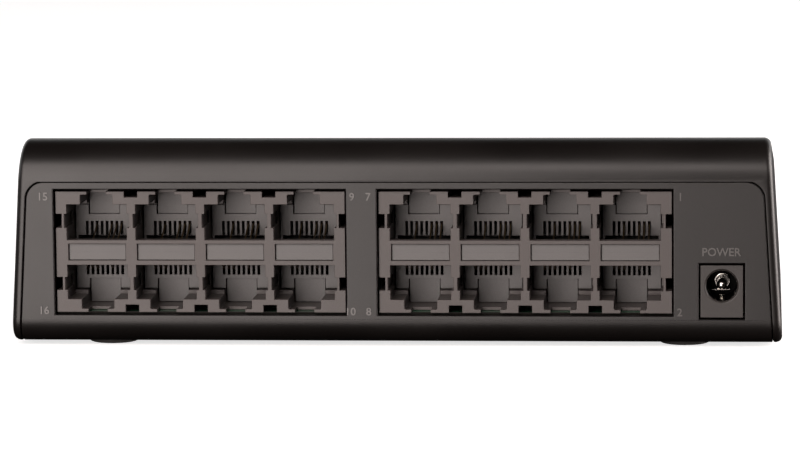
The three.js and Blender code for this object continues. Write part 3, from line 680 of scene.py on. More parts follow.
# %% [markdown]
# ## Cover
# The cover is a thin shell: the outer skin less an inner skin, open underneath and at the back, where the
# tray's rear panel closes it. Boolean cuts are the natural way, because the real tool makes the same cuts.
# The bevel afterwards gives the thin bright line that every moulded rim shows.

# %% Cover
EDGE = 0.22
RIB_DEPTH = (REAR_Y + 7.0, REAR_Y + 8.2)
RIB_REACH = 0.8
RIB_ROOT = 0.4
RIB_HEIGHT = 8
RIB_CLEARANCE = 0.05
WINDOW_FLANGE = 1.2


def joint_rib(side, spread):
    """The rib that locates the cover on the tray and closes the view through their joint.

    The tray's notch for it is the same block, grown by spread and open at the underside.
    """
    joint = half_width(BASE_Z) - WALL
    left, right = between(side * (joint - RIB_REACH - spread), side * (joint + RIB_ROOT + spread))
    near, far = RIB_DEPTH
    low = BASE_Z + RIB_CLEARANCE - RIB_HEIGHT * spread
    return block((left, near - spread, low), (right, far + spread, BASE_Z + RIB_HEIGHT + spread))


def make_cover():
    """The cover: outer skin, less inner skin, rear opening and indicator window."""
    cover = case_skin("cover_shell", 0.0, RIM_RADIUS, 5)
    inside = case_skin("cutter", WALL, 0.4, 2, open_below=True)
    rear = pulled("y", panel_outline(0.0, BASE_Z - 1), REAR_Y - 1, REAR_Y + REAR_RADIUS)
    lens_low, lens_high = box_mm("indicator_lens")
    flange = WINDOW_FLANGE - JOINT_GAP
    window = block(
        (lens_low.x + flange, FRONT_Y - WALL - 1, lens_low.z + flange),
        (lens_high.x - flange, FRONT_Y + 1, lens_high.z - flange),
    )
    boolean(cover, [inside, rear, window])
    boolean(cover, [joint_rib(side, 0.0) for side in (-1, 1)], "UNION")
    soften(cover, EDGE)
    return finished(cover, CASE, ["upper_cover"])


make_cover()

# %% [markdown]
# ## Tray and rear panel
# The tray is one moulding: a floor, and a rear panel that rolls into it with a soft lower edge. Its two wide
# openings and the square one frame the jacks. The underside has cooling slots, beds for the feet and the
# label, and counterbores for the screws. The slots repeat evenly, so Geometry Nodes copy one cutter.

# %% Tray
HOUSING_LOW, HOUSING_HIGH = box_mm("jack_housing_left")
BLOCK_WIDTH = HOUSING_HIGH.x - HOUSING_LOW.x
BLOCK_HEIGHT = HOUSING_HIGH.z - HOUSING_LOW.z
BLOCK_X = [sum(corner.x for corner in box_mm(f"jack_housing_{side}")) / 2 for side in ("left", "right")]
BANK_WIDTH = 59.1
BANK_LOW, BANK_HIGH = BASE_Z + 5.75, BASE_Z + 31.15
PANEL_CUT = 4
POWER_LOW, POWER_HIGH = box_mm("power_jack_housing")
POWER_X = (POWER_LOW.x + POWER_HIGH.x) / 2
POWER_HALF = 4.55
POWER_OPENING = ((POWER_X - POWER_HALF, BASE_Z + 5.15), (POWER_X + POWER_HALF, BASE_Z + 16.35))
FOOT_RADIUS = 5.0
FOOT_X = box_mm("rubber_foot_2")[1].x - FOOT_RADIUS
FOOT_Y = [sum(corner.y for corner in box_mm(f"rubber_foot_{index}")) / 2 for index in (1, 3)]
SCREW_X = sum(corner.x for corner in box_mm("case_screw_2")) / 2
SCREW_Y = [sum(corner.y for corner in box_mm(f"case_screw_{index}")) / 2 for index in (1, 3)]
LABEL_LOW, LABEL_HIGH = box_mm("rating_label")
LABEL_MARGIN = Vector((0.3, 0.3, 0.3))
VENT_COUNT, VENT_PITCH = 9, 5.0
VENT_HALF, VENT_Y, VENT_GROUP_X = 0.9, (-32, -12), 37
FOOT_BED_RADIUS, FOOT_BED_DEPTH = 5.3, 0.9
SCREW_BED_RADII, SCREW_BED_DEPTH = (3.4, 3.1), 3.2
FAR = 100


def turned(name, middle, profile, axis="z", sides=40):
    """A closed turned body about an axis through middle; profile is (radius, place along the axis) in mm."""
    circle = [math.tau * side / sides for side in range(sides)]
    rings = []
    for radius, place in profile:
        ring = [(middle[0] + radius * math.cos(t), middle[1] + radius * math.sin(t)) for t in circle]
        rings.append(along(axis, ring, place))
    return stack_of_rings(name, rings)


def four_corners(piece, xs, ys, finish=CASE):
    """Copies of a piece at the four corners; the piece itself stands at the origin."""
    row(piece, 2, (xs[0], ys[0], 0), (xs[1] - xs[0], 0, 0), finish)
    return row(piece, 2, (0, 0, 0), (0, ys[1] - ys[0], 0), finish)


def make_tray():
    """The floor and rear panel, with every opening, slot and bed."""
    reach = CASE_WIDTH
    tray = pulled("x", side_outline(0.0), -reach, reach, "tray_and_rear_panel")
    keep = pulled("y", panel_outline(JOINT_GAP, BASE_Z - 5), REAR_Y - 1, FRONT_Y - WALL - 0.3)
    boolean(tray, [keep], "INTERSECT")
    foot = (REAR_Y + REAR_FOOT_RADIUS, BASE_Z + REAR_FOOT_RADIUS)
    inner = [
        *arc(foot, REAR_FOOT_RADIUS - FLOOR_WALL, 270, 180, 8),
        (REAR_Y + FLOOR_WALL, FAR),
        (FAR, FAR),
        (FAR, BASE_Z + FLOOR_WALL),
    ]
    cutters = [pulled("x", inner, -reach, reach)]
    openings = [((x - BANK_WIDTH / 2, BANK_LOW), (x + BANK_WIDTH / 2, BANK_HIGH)) for x in BLOCK_X]
    for (left, low), (right, high) in [*openings, POWER_OPENING]:
        cutters.append(block((left, REAR_Y - 1, low), (right, REAR_Y + PANEL_CUT, high)))
    for side in (-1, 1):
        slot = block((-VENT_HALF, VENT_Y[0], -1), (VENT_HALF, VENT_Y[1], BASE_Z + FLOOR_WALL + 1))
        first = side * VENT_GROUP_X - (VENT_COUNT - 1) / 2 * VENT_PITCH
        cutters.append(row(slot, VENT_COUNT, (first, 0, 0), (VENT_PITCH, 0, 0)))
    profile = [(FOOT_BED_RADIUS, -1), (FOOT_BED_RADIUS, BASE_Z + FOOT_BED_DEPTH)]
    foot_bed = turned("cutter", (0, 0), profile)
    cutters.append(four_corners(foot_bed, (-FOOT_X, FOOT_X), FOOT_Y))
    profile = [(SCREW_BED_RADII[0], -1), (SCREW_BED_RADII[1], BASE_Z + SCREW_BED_DEPTH)]
    screw_bed = turned("cutter", (0, 0), profile)
    cutters.append(four_corners(screw_bed, (-SCREW_X, SCREW_X), SCREW_Y))
    bed_low, bed_high = LABEL_LOW - LABEL_MARGIN, LABEL_HIGH + LABEL_MARGIN
    cutters.append(block((bed_low.x, bed_low.y, -1), bed_high))
    cutters.extend(joint_rib(side, JOINT_GAP) for side in (-1, 1))
    boolean(tray, cutters)
    soften(tray, EDGE)
    return finished(tray, CASE, ["lower_case"])


make_tray()

# %% [markdown]
# ## Raised numbers
# Port numbers and one plain word stand a little proud of the panel, moulded in one with it, and are painted a
# lighter grey as a painted highlight on the raised characters. A text object gives the shapes; it becomes a
# mesh before it is set in place, and a few such pieces are joined into one. Odd ports are above and even
# ports below, and only the outer port of each row is numbered.

# %% Raised numbers
LETTER_PROUD = 0.2
NUMBER_HEIGHT = 1.6
NUMBERS = {
    "15": (-70.4, 29.75),
    "16": (-70.5, 6.7),
    "9": (-8.1, 29.7),
    "10": (-8.4, 6.6),
    "7": (-4.8, 29.7),
    "8": (-4.9, 6.6),
    "1": (57.4, 29.7),
    "2": (57.2, 6.6),
}
POWER_WORD_PLACE = (POWER_X, 18.7)
POWER_WORD_SIZE = (1.67, 7.7)
TEXT_FATTER = 0.014
SAME_PLACE_MM = 0.01


def weld(mesh):
    """Joins the points of a mesh that stand in the same place."""
    shape = bmesh.new()
    shape.from_mesh(mesh)
    bmesh.ops.remove_doubles(shape, verts=shape.verts, dist=SAME_PLACE_MM * MM)
    shape.to_mesh(mesh)
    shape.free()


def raised_word(word, middle, height, width=None):
    """A word on the rear panel, centred on (x, height above the case's underside), in mm."""
    text = bpy.data.curves.new("word", "FONT")
    text.body = word
    text.size = 1.0
    text.extrude = 0.08
    text.offset = TEXT_FATTER
    text.resolution_u = 3
    source = add_object("word", text)
    bpy.context.view_layer.update()
    mesh = plain_mesh(source)
    bpy.data.objects.remove(source)
    weld(mesh)
    xs = [vertex.co.x for vertex in mesh.vertices]
    ys = [vertex.co.y for vertex in mesh.vertices]
    zs = [vertex.co.z for vertex in mesh.vertices]
    tall = height * MM / (max(ys) - min(ys))
    wide = width * MM / (max(xs) - min(xs)) if width else tall
    thick = 2 * LETTER_PROUD * MM / (max(zs) - min(zs))
    centre = Vector(((max(xs) + min(xs)) / 2, (max(ys) + min(ys)) / 2, 0))
    mesh.transform(Matrix.Translation(-centre))
    mesh.transform(Matrix.Diagonal((wide, tall, thick, 1.0)))
    mesh.transform(Matrix.Rotation(math.radians(90), 4, "X"))
    mesh.transform(Matrix.Translation(Vector((middle[0], REAR_Y, BASE_Z + middle[1])) * MM))
    return add_object(word, mesh)


def make_lettering():
    """All raised characters as one piece."""
    words = [raised_word(word, place, NUMBER_HEIGHT) for word, place in NUMBERS.items()]
    words.append(raised_word("POWER", POWER_WORD_PLACE, *POWER_WORD_SIZE))
    lettering = merged(words, "raised_lettering")
    # A glossier finish, whose lighter grey is a painted highlight.
    return finished(lettering, LETTERING_GLOSS_AND_HIGHLIGHT, [])


make_lettering()

# %% [markdown]
# ## Jack housings
# Each bank is one moulding with four columns of two ports, latch side up in the upper port and down in the
# lower one. The columns are alike, so every cutter is made once for the first column and copied by the row
# tree. The webs are notched at the top, bottom and sides, as on the real part, where shields would clip on.

# %% Jack housings
COLUMNS = 4
PORT_COUNT = 2 * COLUMNS * len(BLOCK_X)
PORT_PITCH = 13.97
FIRST_COLUMN = -(COLUMNS - 1) / 2 * PORT_PITCH
MOUTH = 6.1
LOWER_PORT = (2.61, 9.57)
UPPER_PORT = (14.6, 21.82)
SHELF = 0.8
SHELF_DEPTH = 8.4
MOUTH_DEPTH = 10.2
EAR_DEPTH = 10.9
PLATE_DEPTH = 11.8
BLOCK_DEPTH = 25
WINDOW = (10.49, 13.85)
WINDOW_HALF = 5.85
WINDOW_DEPTH = 3
MIDDLE = sum(WINDOW) / 2
LATCH_HALF = 3.3
LATCH_CHAMFER = 0.2
LIP_HALF = 1.95
LIP = 0.65
LIP_CUT = 4
BACK_PLATE_HALF = 3.1
BACK_PLATE_START = 6.7
NOTCHES = ((4.5, 7.1), (17.1, 19.9))
NOTCH_DEPTH = 14.0
NOTCH_IN_MOUTH = (0.5, 8)
WEB_NOTCH_HALF = 1.35
WEB_NOTCH_LOW, WEB_NOTCH_HIGH = 1.5, 1.2
SIDE_NOTCH = 1.2
INNER_BAY = (2.5, 11)
REAR_BAY, REAR_BAY_Z = 9.9, (5.2, 19.1)


def port_cutters(mouth, is_upper):
    """Cutters for one port, with depths from the face and heights from the underside.

    The port's column stands at x = 0. The latch is at the top of an upper port and the bottom of a lower one.
    """
    low, high = mouth
    away = 1 if is_upper else -1
    latch_edge = high if is_upper else low
    outside = BLOCK_HEIGHT if is_upper else 0.0
    inner_low, inner_high = between(low if is_upper else high, latch_edge - away * SHELF)
    lip = outside - away * LIP
    latch_start = latch_edge - away * (SHELF + 0.3)
    wide = [
        (-LATCH_HALF, latch_start),
        (LATCH_HALF, latch_start),
        (LATCH_HALF, lip - away * LATCH_CHAMFER),
        (LATCH_HALF - LATCH_CHAMFER, lip),
        (LATCH_CHAMFER - LATCH_HALF, lip),
        (-LATCH_HALF, lip - away * LATCH_CHAMFER),
    ]
    narrow_low, narrow_high = between(lip - away * 0.4, outside + away)
    plate_low, plate_high = between(MIDDLE + away * BACK_PLATE_START, latch_edge - away * SHELF)
    cutters = [
        block((-MOUTH, -1, low), (MOUTH, SHELF_DEPTH, high)),
        block((-MOUTH, SHELF_DEPTH - 0.5, inner_low), (MOUTH, MOUTH_DEPTH, inner_high)),
        pulled("y", wide, -1, PLATE_DEPTH),
        block((-LIP_HALF, -1, narrow_low), (LIP_HALF, LIP_CUT, narrow_high)),
        block((-BACK_PLATE_HALF, MOUTH_DEPTH - 1, plate_low), (BACK_PLATE_HALF, PLATE_DEPTH, plate_high)),
    ]
    for side in (-1, 1):
        left, right = between(side * BACK_PLATE_HALF, side * MOUTH)
        cutters.append(block((left, MOUTH_DEPTH - 1, plate_low), (right, EAR_DEPTH, plate_high)))
    return cutters


def make_housing(name):
    """One bank of ports, centred on x = 0, with its face at y = 0 and its underside at z = 0."""
    body = block((-BLOCK_WIDTH / 2, 0, 0), (BLOCK_WIDTH / 2, BLOCK_DEPTH, BLOCK_HEIGHT), name)
    one_column = port_cutters(LOWER_PORT, False) + port_cutters(UPPER_PORT, True)
    spread_x, deep = NOTCH_IN_MOUTH
    half = MOUTH + spread_x
    one_column += [block((-half, -1, low), (half, deep, high)) for low, high in NOTCHES]
    one_column += [
        block((-WINDOW_HALF, -1, WINDOW[0]), (WINDOW_HALF, WINDOW_DEPTH, WINDOW[1])),
        block((-MOUTH, INNER_BAY[0], LOWER_PORT[1] - 0.5), (MOUTH, INNER_BAY[1], UPPER_PORT[0] + 0.5)),
        block((-MOUTH, REAR_BAY, REAR_BAY_Z[0]), (MOUTH, BLOCK_DEPTH + 1, REAR_BAY_Z[1])),
    ]
    cutters = [row(cutter, COLUMNS, (FIRST_COLUMN, 0, 0), (PORT_PITCH, 0, 0)) for cutter in one_column]
    first_web = FIRST_COLUMN + PORT_PITCH / 2
    for low, high in ((-1, WEB_NOTCH_LOW), (BLOCK_HEIGHT - WEB_NOTCH_HIGH, BLOCK_HEIGHT + 1)):
        notch = block((-WEB_NOTCH_HALF, -1, low), (WEB_NOTCH_HALF, NOTCH_DEPTH, high))
        cutters.append(row(notch, COLUMNS - 1, (first_web, 0, 0), (PORT_PITCH, 0, 0)))
    edge = -BLOCK_WIDTH / 2
    for low, high in NOTCHES:
        notch = block((edge - SIDE_NOTCH, -1, low), (edge + SIDE_NOTCH, NOTCH_DEPTH, high))
        cutters.append(row(notch, 2, (0, 0, 0), (BLOCK_WIDTH, 0, 0)))
    boolean(body, cutters)
    return soften(body, 0.08)


def placed(piece, x, y, z):
    """Moves a piece's mesh, in mm, and leaves the object at the origin."""
    piece.data.transform(Matrix.Translation(Vector((x, y, z)) * MM))
    return piece


def copy_of(piece, name):
    """A second object with its own copy of a piece's mesh."""
    return add_object(name, piece.data.copy())


housing_pattern = make_housing("jack_housing_pattern")
for side, x in zip(("left", "right"), BLOCK_X):
    housing = placed(copy_of(housing_pattern, f"jack_frame_{side}"), x, HOUSING_LOW.y, HOUSING_LOW.z)
    finished(housing, JACK, [f"jack_housing_{side}"])
bpy.data.objects.remove(housing_pattern)

# %% [markdown]
# ## Jack inserts
# Behind each window sits an insert that serves the port above and the port below. Its nose fills the window,
# and its back plate holds two combs of eight slots, which keep the contact wires apart. The slots repeat at
# the wire pitch, so one cutter and the row tree make each comb.

# %% Jack inserts
WIRE_PITCH = 1.016
WIRE_PLACES = 8
SLOT_WIDTH = 0.54
SLOT_START, SLOT_END = 9, 16.0
COMB_NEAR, COMB_FAR_LOWER, COMB_FAR_UPPER = 1.45, 5.8, 5.15
TROUGH_LOWER, TROUGH_UPPER = 1.75, 2.25
INSERT_START = 0.6
BODY_HALF, BODY_END, BODY_RISE = 5.55, 10.6, 1.38
NOSE_LEFT, NOSE_RIGHT, NOSE_END, NOSE_RISE = -5.7, 5.75, 2.4, 1.6
SPINE_HALF, SPINE_START, SPINE_END, SPINE_RISE = 5.85, 10.0, 22, 6.6
WING_START = 6.0
PLATE_HALF, PLATE_START, PLATE_END = 3.05, 10.7, 11.7
LOWER_PLATE_EDGE, UPPER_PLATE_EDGE = 0.75, BLOCK_HEIGHT - 0.75
EAR_END, EAR_RISE = 10.85, 8.5
TROUGH_HALF, TROUGH_START, TROUGH_END, TROUGH_NEAR = 5.4, 9.7, 18, 1.1
GROOVE_HALF, GROOVE_DEPTH, GROOVE_RISE = 5.8, 0.04, 0.03


def make_insert():
    """One comb insert, in the same place as a housing's column: depths from the face, rises from MIDDLE."""

    def around_middle(left, right, start, end, rise):
        return block((left, start, MIDDLE - rise), (right, end, MIDDLE + rise))

    body = around_middle(-BODY_HALF, BODY_HALF, INSERT_START, BODY_END, BODY_RISE)
    nose_plate = around_middle(NOSE_LEFT, NOSE_RIGHT, INSERT_START, NOSE_END, NOSE_RISE)
    spine = around_middle(-SPINE_HALF, SPINE_HALF, SPINE_START, SPINE_END, SPINE_RISE)
    boolean(body, [nose_plate, spine], "UNION")
    for side, outer in ((-1, LOWER_PLATE_EDGE), (1, UPPER_PLATE_EDGE)):
        low, high = between(MIDDLE + side * WING_START, outer)
        boolean(body, [block((-PLATE_HALF, PLATE_START, low), (PLATE_HALF, PLATE_END, high))], "UNION")
        for edge in (-1, 1):
            left, right = between(edge * (BACK_PLATE_HALF + 0.1), edge * SPINE_HALF)
            low, high = between(MIDDLE + side * WING_START, MIDDLE + side * EAR_RISE)
            boolean(body, [block((left, SPINE_START, low), (right, EAR_END, high))], "UNION")
    first = -(WIRE_PLACES - 1) / 2 * WIRE_PITCH
    for side, far, trough in ((-1, COMB_FAR_LOWER, TROUGH_LOWER), (1, COMB_FAR_UPPER, TROUGH_UPPER)):
        low, high = between(MIDDLE + side * TROUGH_NEAR, MIDDLE + side * trough)
        boolean(body, [block((-TROUGH_HALF, TROUGH_START, low), (TROUGH_HALF, TROUGH_END, high))])
        low, high = between(MIDDLE + side * COMB_NEAR, MIDDLE + side * far)
        slot = block((-SLOT_WIDTH / 2, SLOT_START, low), (SLOT_WIDTH / 2, SLOT_END, high))
        boolean(body, [row(slot, WIRE_PLACES, (first, 0, 0), (WIRE_PITCH, 0, 0))])
    soften(body, 0.05, segments=1)
    start, end = INSERT_START - 0.1, INSERT_START + GROOVE_DEPTH
    return boolean(body, [around_middle(-GROOVE_HALF, GROOVE_HALF, start, end, GROOVE_RISE)])


insert_pattern = make_insert()
for bank, bank_x in enumerate(BLOCK_X):
    for column in range(COLUMNS):
        pair = 2 * COLUMNS - (bank * COLUMNS + column)
        x = bank_x + FIRST_COLUMN + column * PORT_PITCH
        insert = placed(copy_of(insert_pattern, f"comb_insert_{pair}"), x, HOUSING_LOW.y, HOUSING_LOW.z)
        finished(insert, INSERT, [f"jack_insert_{pair}"])
bpy.data.objects.remove(insert_pattern)

# %% [markdown]
# ## Contact wires
# Only four of the eight places in each port carry a wire, because this kind of switch uses two pairs. A wire
# leaves the insert's nose, bends, and springs up into its comb slot. Each port's wires are one moving body.
# A second Geometry Nodes tree turns paths of straight edges into round wire: it fillets the corners, sweeps
# a small circle along them and closes the ends.

# %% Contact wires
def make_wire_tree():
    """The tree that turns paths of straight edges into round wire."""
    tree, given, result = tree_with(
        "wire_along_paths",
        [
            ("Paths", "NodeSocketGeometry"),
            ("Radius", "NodeSocketFloat"),
            ("Bend", "NodeSocketFloat"),
            ("Finish", "NodeSocketMaterial"),
        ],
    )
    curve = tree.nodes.new("GeometryNodeMeshToCurve")
    fillet = tree.nodes.new("GeometryNodeFilletCurve")
    fillet.mode = "POLY"
    fillet.inputs["Count"].default_value = 4
    circle = tree.nodes.new("GeometryNodeCurvePrimitiveCircle")
    circle.inputs["Resolution"].default_value = 10
    sweep = tree.nodes.new("GeometryNodeCurveToMesh")
    sweep.inputs["Fill Caps"].default_value = True
    real = tree.nodes.new("GeometryNodeRealizeInstances")
    paint = tree.nodes.new("GeometryNodeSetMaterial")
    link = tree.links.new
    link(given.outputs["Paths"], curve.inputs["Mesh"])
    link(curve.outputs["Curve"], fillet.inputs["Curve"])
    link(given.outputs["Bend"], fillet.inputs["Radius"])
    link(given.outputs["Radius"], circle.inputs["Radius"])
    link(fillet.outputs["Curve"], sweep.inputs["Curve"])
    link(circle.outputs["Curve"], sweep.inputs["Profile Curve"])
    link(sweep.outputs["Mesh"], real.inputs["Geometry"])
    link(real.outputs["Geometry"], paint.inputs["Geometry"])
    link(given.outputs["Finish"], paint.inputs["Material"])
    link(paint.outputs["Geometry"], result.inputs["Result"])
    return tree


WIRE_TREE = make_wire_tree()
WIRE_RADIUS = 0.16
LOWER_WIRES = (1, 2, 3, 6)
UPPER_WIRES = (3, 6, 7, 8)
WIRE_BEND = 0.6
WIRE_SHAPE = ((0.0, 0.0), (0.5, 0.0), (2.6, 0.85), (6.9, 2.9), (7.55, 3.0))


def wire_mesh(name, paths, radius, bend, finish):
    """Round wires along paths of points in mm."""
    mesh = bpy.data.meshes.new(name)
    points = [Vector(point) * MM for path in paths for point in path]
    edges, start = [], 0
    for path in paths:
        edges += [(start + step, start + step + 1) for step in range(len(path) - 1)]
        start += len(path)
    mesh.from_pydata(points, edges, [])
    values = {"Radius": radius * MM, "Bend": bend * MM, "Finish": finish}
    wires = run_tree(add_object(name, mesh), WIRE_TREE, values)
    return smooth_up_to(wires, 50)


JOINTS = {joint["name"]: joint for joint in frame["joints"]}
for port in range(1, PORT_COUNT + 1):
    hinge = Vector(JOINTS[f"port_{port:02d}_flex"]["pos_m"]) / MM
    is_upper = port % 2 == 1
    up = 1 if is_upper else -1
    used = UPPER_WIRES if is_upper else LOWER_WIRES
    places = [hinge.x + (place - (WIRE_PLACES + 1) / 2) * WIRE_PITCH for place in used]
    paths = [[(x, hinge.y + deep, hinge.z + up * rise) for deep, rise in WIRE_SHAPE] for x in places]
    paths.append([(min(places), hinge.y, hinge.z), (max(places), hinge.y, hinge.z)])
    wires = wire_mesh(f"contact_wires_{port:02d}", paths, WIRE_RADIUS, WIRE_BEND, GOLD)
    node = f"port_{port:02d}_contacts"
    finished(wires, GOLD, [node], node)

# %% [markdown]
# ## Power jack
# The power jack is a small black block with a round hole, a nickel pin in the middle and a springy leaf
# underneath that touches the plug's sleeve. Turned shapes follow a profile of radius and depth, so the pin
# gets its domed tip and its base flange from one list, and the hole gets its chamfer from another.

# %% Power jack
PIN_LOW, PIN_HIGH = box_mm("power_jack_pin")
HOLE = (POWER_X, (PIN_LOW.z + PIN_HIGH.z) / 2)
FACE_Y = POWER_LOW.y
HOLE_RADIUS = 3.1
HOLE_DEPTH = 9.5
HOLE_CHAMFER = 0.3
APRON_DEPTH = 1.7
SPRING_WAY_HALF, SPRING_WAY_START, SPRING_WAY_FALL = 0.95, 2, 5.2
PIN_RADIUS = 1.0
PIN_TIP, PIN_DOME = 1.5, 1.1
FLANGE_RADIUS = 1.53
SPRING_HALF, SPRING_THICKNESS = 0.6, 0.25
SPRING_LINE = ((0, 0.15), (1.6, 0.95), (3.1, 1.95), (4.1, 2.2), (4.8, 1.9), (5.4, 1.35), (6.1, 0.75))
SWITCH_LEAF_LOW, SWITCH_LEAF_HIGH = (-2.3, 6.2, -1.57), (1.6, 9.4, -1.43)


def turned_in_hole(name, profile, sides):
    """A turned piece on the hole's axis; profile is (radius, depth from the face)."""
    return turned(name, HOLE, [(radius, FACE_Y + depth) for radius, depth in profile], "y", sides)


def make_power_housing():
    """The jack's body: a block on an apron, with the round hole and the spring's way below it."""
    floor_z = BASE_Z + 6.2
    body = block((POWER_LOW.x, FACE_Y, floor_z), POWER_HIGH, "power_jack_body")
    apron = block((POWER_LOW.x, FACE_Y, POWER_LOW.z), (POWER_HIGH.x, FACE_Y + APRON_DEPTH, floor_z + 1))
    boolean(body, [apron], "UNION")
    mouth = [
        (HOLE_RADIUS + HOLE_CHAMFER + 1, -1),
        (HOLE_RADIUS + HOLE_CHAMFER, 0),
        (HOLE_RADIUS, HOLE_CHAMFER),
        (HOLE_RADIUS, HOLE_DEPTH),
    ]
    way = block(
        (HOLE[0] - SPRING_WAY_HALF, FACE_Y + SPRING_WAY_START, HOLE[1] - SPRING_WAY_FALL),
        (HOLE[0] + SPRING_WAY_HALF, FACE_Y + HOLE_DEPTH, HOLE[1]),
    )
    boolean(body, [turned_in_hole("cutter", mouth, 64), way])
    soften(body, 0.12)
    return finished(body, POWER_BLACK, ["power_jack_housing"])


def make_pin():
    """The centre pin: a domed tip, a plain shaft and a flange at its root."""
    dome = []
    for angle in (5, 20, 40, 60, 78, 90):
        turn = math.radians(angle)
        dome.append((PIN_RADIUS * math.sin(turn), PIN_TIP + PIN_DOME * (1 - math.cos(turn))))
    base = [
        (PIN_RADIUS, 8.3),
        (FLANGE_RADIUS * 0.8, 8.35),
        (FLANGE_RADIUS * 0.84, 8.5),
        (FLANGE_RADIUS * 0.96, 8.5),
        (FLANGE_RADIUS, 8.6),
        (FLANGE_RADIUS, 9.25),
        (PIN_RADIUS, 9.3),
        (PIN_RADIUS, 15.9),
    ]
    pin = turned_in_hole("centre_pin", dome + base, 48)
    smooth_up_to(pin, 35)
    return finished(pin, NICKEL, ["power_jack_pin"])


def make_sleeve_spring():
    """The bowed strip that touches the plug's sleeve; SPRING_LINE is its upper face, seen from the hinge."""
    hinge = Vector(JOINTS["power_spring_flex"]["pos_m"]) / MM
    upper = [(hinge.y - forward, hinge.z + rise) for forward, rise in SPRING_LINE]
    under = [(y, z - SPRING_THICKNESS) for y, z in reversed(upper)]
    low, high = HOLE[0] - SPRING_HALF, HOLE[0] + SPRING_HALF
    leaf = pulled("x", [*upper, *under], low, high, "sleeve_spring_leaf")
    soften(leaf, SPRING_THICKNESS * 0.2, angle=50)
    return finished(leaf, NICKEL, ["power_jack_spring"], "power_jack_spring")


def make_switch_leaf():
    """The small contact strip that a plug pushes aside, low in the hole."""
    centre = Vector((HOLE[0], FACE_Y, HOLE[1]))
    leaf = block(centre + Vector(SWITCH_LEAF_LOW), centre + Vector(SWITCH_LEAF_HIGH), "power_switch_leaf")
    soften(leaf, 0.03)
    return finished(leaf, NICKEL, [])


make_power_housing()
make_pin()
make_sleeve_spring()
make_switch_leaf()

# %% [markdown]
# ## Feet, screws, label and indicator window
# The small parts decide how finished the other sides look. Feet and screws stand at four corners, so each is
# made once at the origin and the row tree copies it twice. The indicator window is a smoked strip with a row
# of small light pipe ends in its face, one for each port and one for power.

# %% Feet and screws
FOOT_PROFILE = ((0.4, 0.12), (3.3, 0.12), (3.6, 0.0), (4.6, 0.0), (4.9, 0.12), (FOOT_RADIUS, 0.4))
SCREW_PROFILE = ((1.7, 0), (2.3, 0.12), (2.7, 0.5), (2.8, 1.0), (2.8, 1.8), (1.4, 1.8))
THREAD_RADIUS, POINT_RADIUS, POINT_LENGTH = 1.4, 0.5, 1.0
CROSS_REACH, CROSS_HALF = 1.7, 0.4


def make_feet():
    """Four round feet with a shallow hollow underneath."""
    foot_low, foot_high = box_mm("rubber_foot_1")
    height = foot_high.z - foot_low.z
    foot = turned("rubber_feet", (0, 0), [*FOOT_PROFILE, (FOOT_RADIUS, height)])
    foot = four_corners(foot, (-FOOT_X, FOOT_X), FOOT_Y, RUBBER)
    smooth_up_to(foot, 35)
    return finished(foot, RUBBER, [f"rubber_foot_{index}" for index in range(1, 5)])


def make_screws():
    """Four screws with domed heads and a cross slot, heads downwards."""
    low, high = box_mm("case_screw_1")
    z = low.z
    profile = [(radius, z + rise) for radius, rise in SCREW_PROFILE]
    profile += [(THREAD_RADIUS, high.z - POINT_LENGTH), (POINT_RADIUS, high.z)]
    screw = turned("case_screws", (0, 0), profile, sides=32)
    arms = ((CROSS_REACH, CROSS_HALF), (CROSS_HALF, CROSS_REACH))
    boolean(screw, [block((-x, -y, z - 1), (x, y, z + 1)) for x, y in arms])
    soften(screw, 0.06, segments=1)
    screw = four_corners(screw, (-SCREW_X, SCREW_X), SCREW_Y, STEEL)
    return finished(screw, STEEL, [f"case_screw_{index}" for index in range(1, 5)])


make_feet()
make_screws()


# %% Label and indicator window
FLANGE_REACH = 1.3
WINDOW_PROUD = 1.8
FLANGE_THICKNESS = 1.0
BACKING = 2
PIPE_COUNT = PORT_COUNT + 1
PIPE_MARGIN = 7
PIPE_HALF = (0.9, 0.55)
PIPE_DEPTH, PIPE_PROUD = 0.25, 0.03


def rounded_rectangle(low, high, radius, steps=5):
    """A rectangle with round corners, as points in mm."""
    (x0, y0), (x1, y1) = low, high
    return [
        *arc((x1 - radius, y1 - radius), radius, 0, 90, steps),
        *arc((x0 + radius, y1 - radius), radius, 90, 180, steps),
        *arc((x0 + radius, y0 + radius), radius, 180, 270, steps),
        *arc((x1 - radius, y0 + radius), radius, 270, 360, steps),
    ]


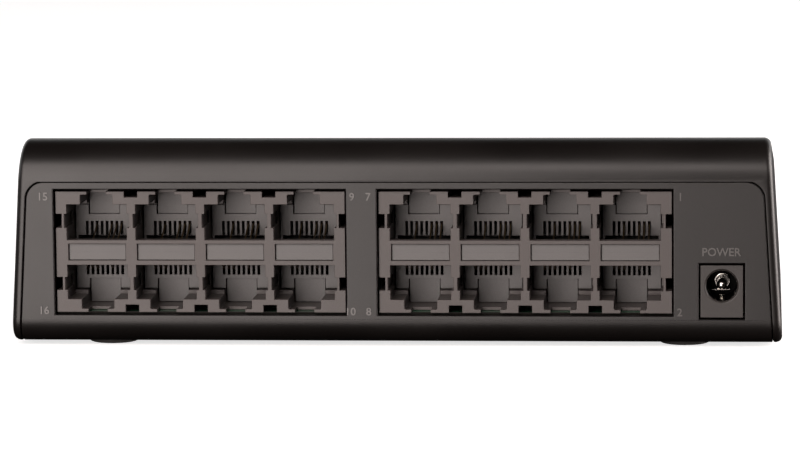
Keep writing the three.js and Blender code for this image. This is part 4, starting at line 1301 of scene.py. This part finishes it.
def make_label():
    """The blank label, a thin film with round corners."""
    outline = rounded_rectangle(LABEL_LOW.xy, LABEL_HIGH.xy, 1.5)
    label = pulled("z", outline, LABEL_LOW.z, LABEL_HIGH.z, "blank_label")
    soften(label, 0.04, segments=1, angle=60)
    return finished(label, FILM, ["rating_label"])


def make_window():
    """The smoked strip with its flange inside the wall, and the row of light pipe ends in its face."""
    low, high = box_mm("indicator_lens")
    strip = rounded_rectangle(
        (low.x + FLANGE_REACH, low.z + FLANGE_REACH), (high.x - FLANGE_REACH, high.z - FLANGE_REACH), 0.5
    )
    lens = pulled("y", strip, high.y - WINDOW_PROUD, high.y, "indicator_window")
    flange = rounded_rectangle((low.x, low.z), (high.x, high.z), 0.8)
    backing = block(
        (low.x + BACKING, low.y + 0.5, low.z + BACKING), (high.x - BACKING, high.y - 1.0, high.z - BACKING)
    )
    boolean(lens, [pulled("y", flange, low.y, low.y + FLANGE_THICKNESS), backing], "UNION")
    soften(lens, 0.15)
    finished(lens, SMOKED, ["indicator_lens"])
    pitch = (high.x - low.x - 2 * PIPE_MARGIN) / (PIPE_COUNT - 1)
    middle = (low.z + high.z) / 2
    half_x, half_z = PIPE_HALF
    outline = rounded_rectangle((-half_x, middle - half_z), (half_x, middle + half_z), 0.25)
    pipe = pulled("y", outline, high.y - PIPE_DEPTH, high.y + PIPE_PROUD)
    pipe = row(pipe, PIPE_COUNT, (low.x + PIPE_MARGIN, 0, 0), (pitch, 0, 0), DIFFUSER)
    pipe.name = "indicator_pipes"
    return finished(pipe, DIFFUSER, [])


make_label()
make_window()

# %% [markdown]
# ## Parts inside
# The board and its parts are closed in, but the board's edge shows through the lower ports' latch slots, and
# the rest is there for whoever opens the case. Their CAD shapes stay, and get their finishes here.

# %% Finishes for the CAD parts that stay
for subpart in frame["record"]["subparts"]:
    node = frame["nodes"][subpart["node"]]
    if node.hide_render:
        continue
    node.data.materials.clear()
    node.data.materials.append(SLOT_FINISH[subpart["material_slot"]])
    print("kept", subpart["node"])
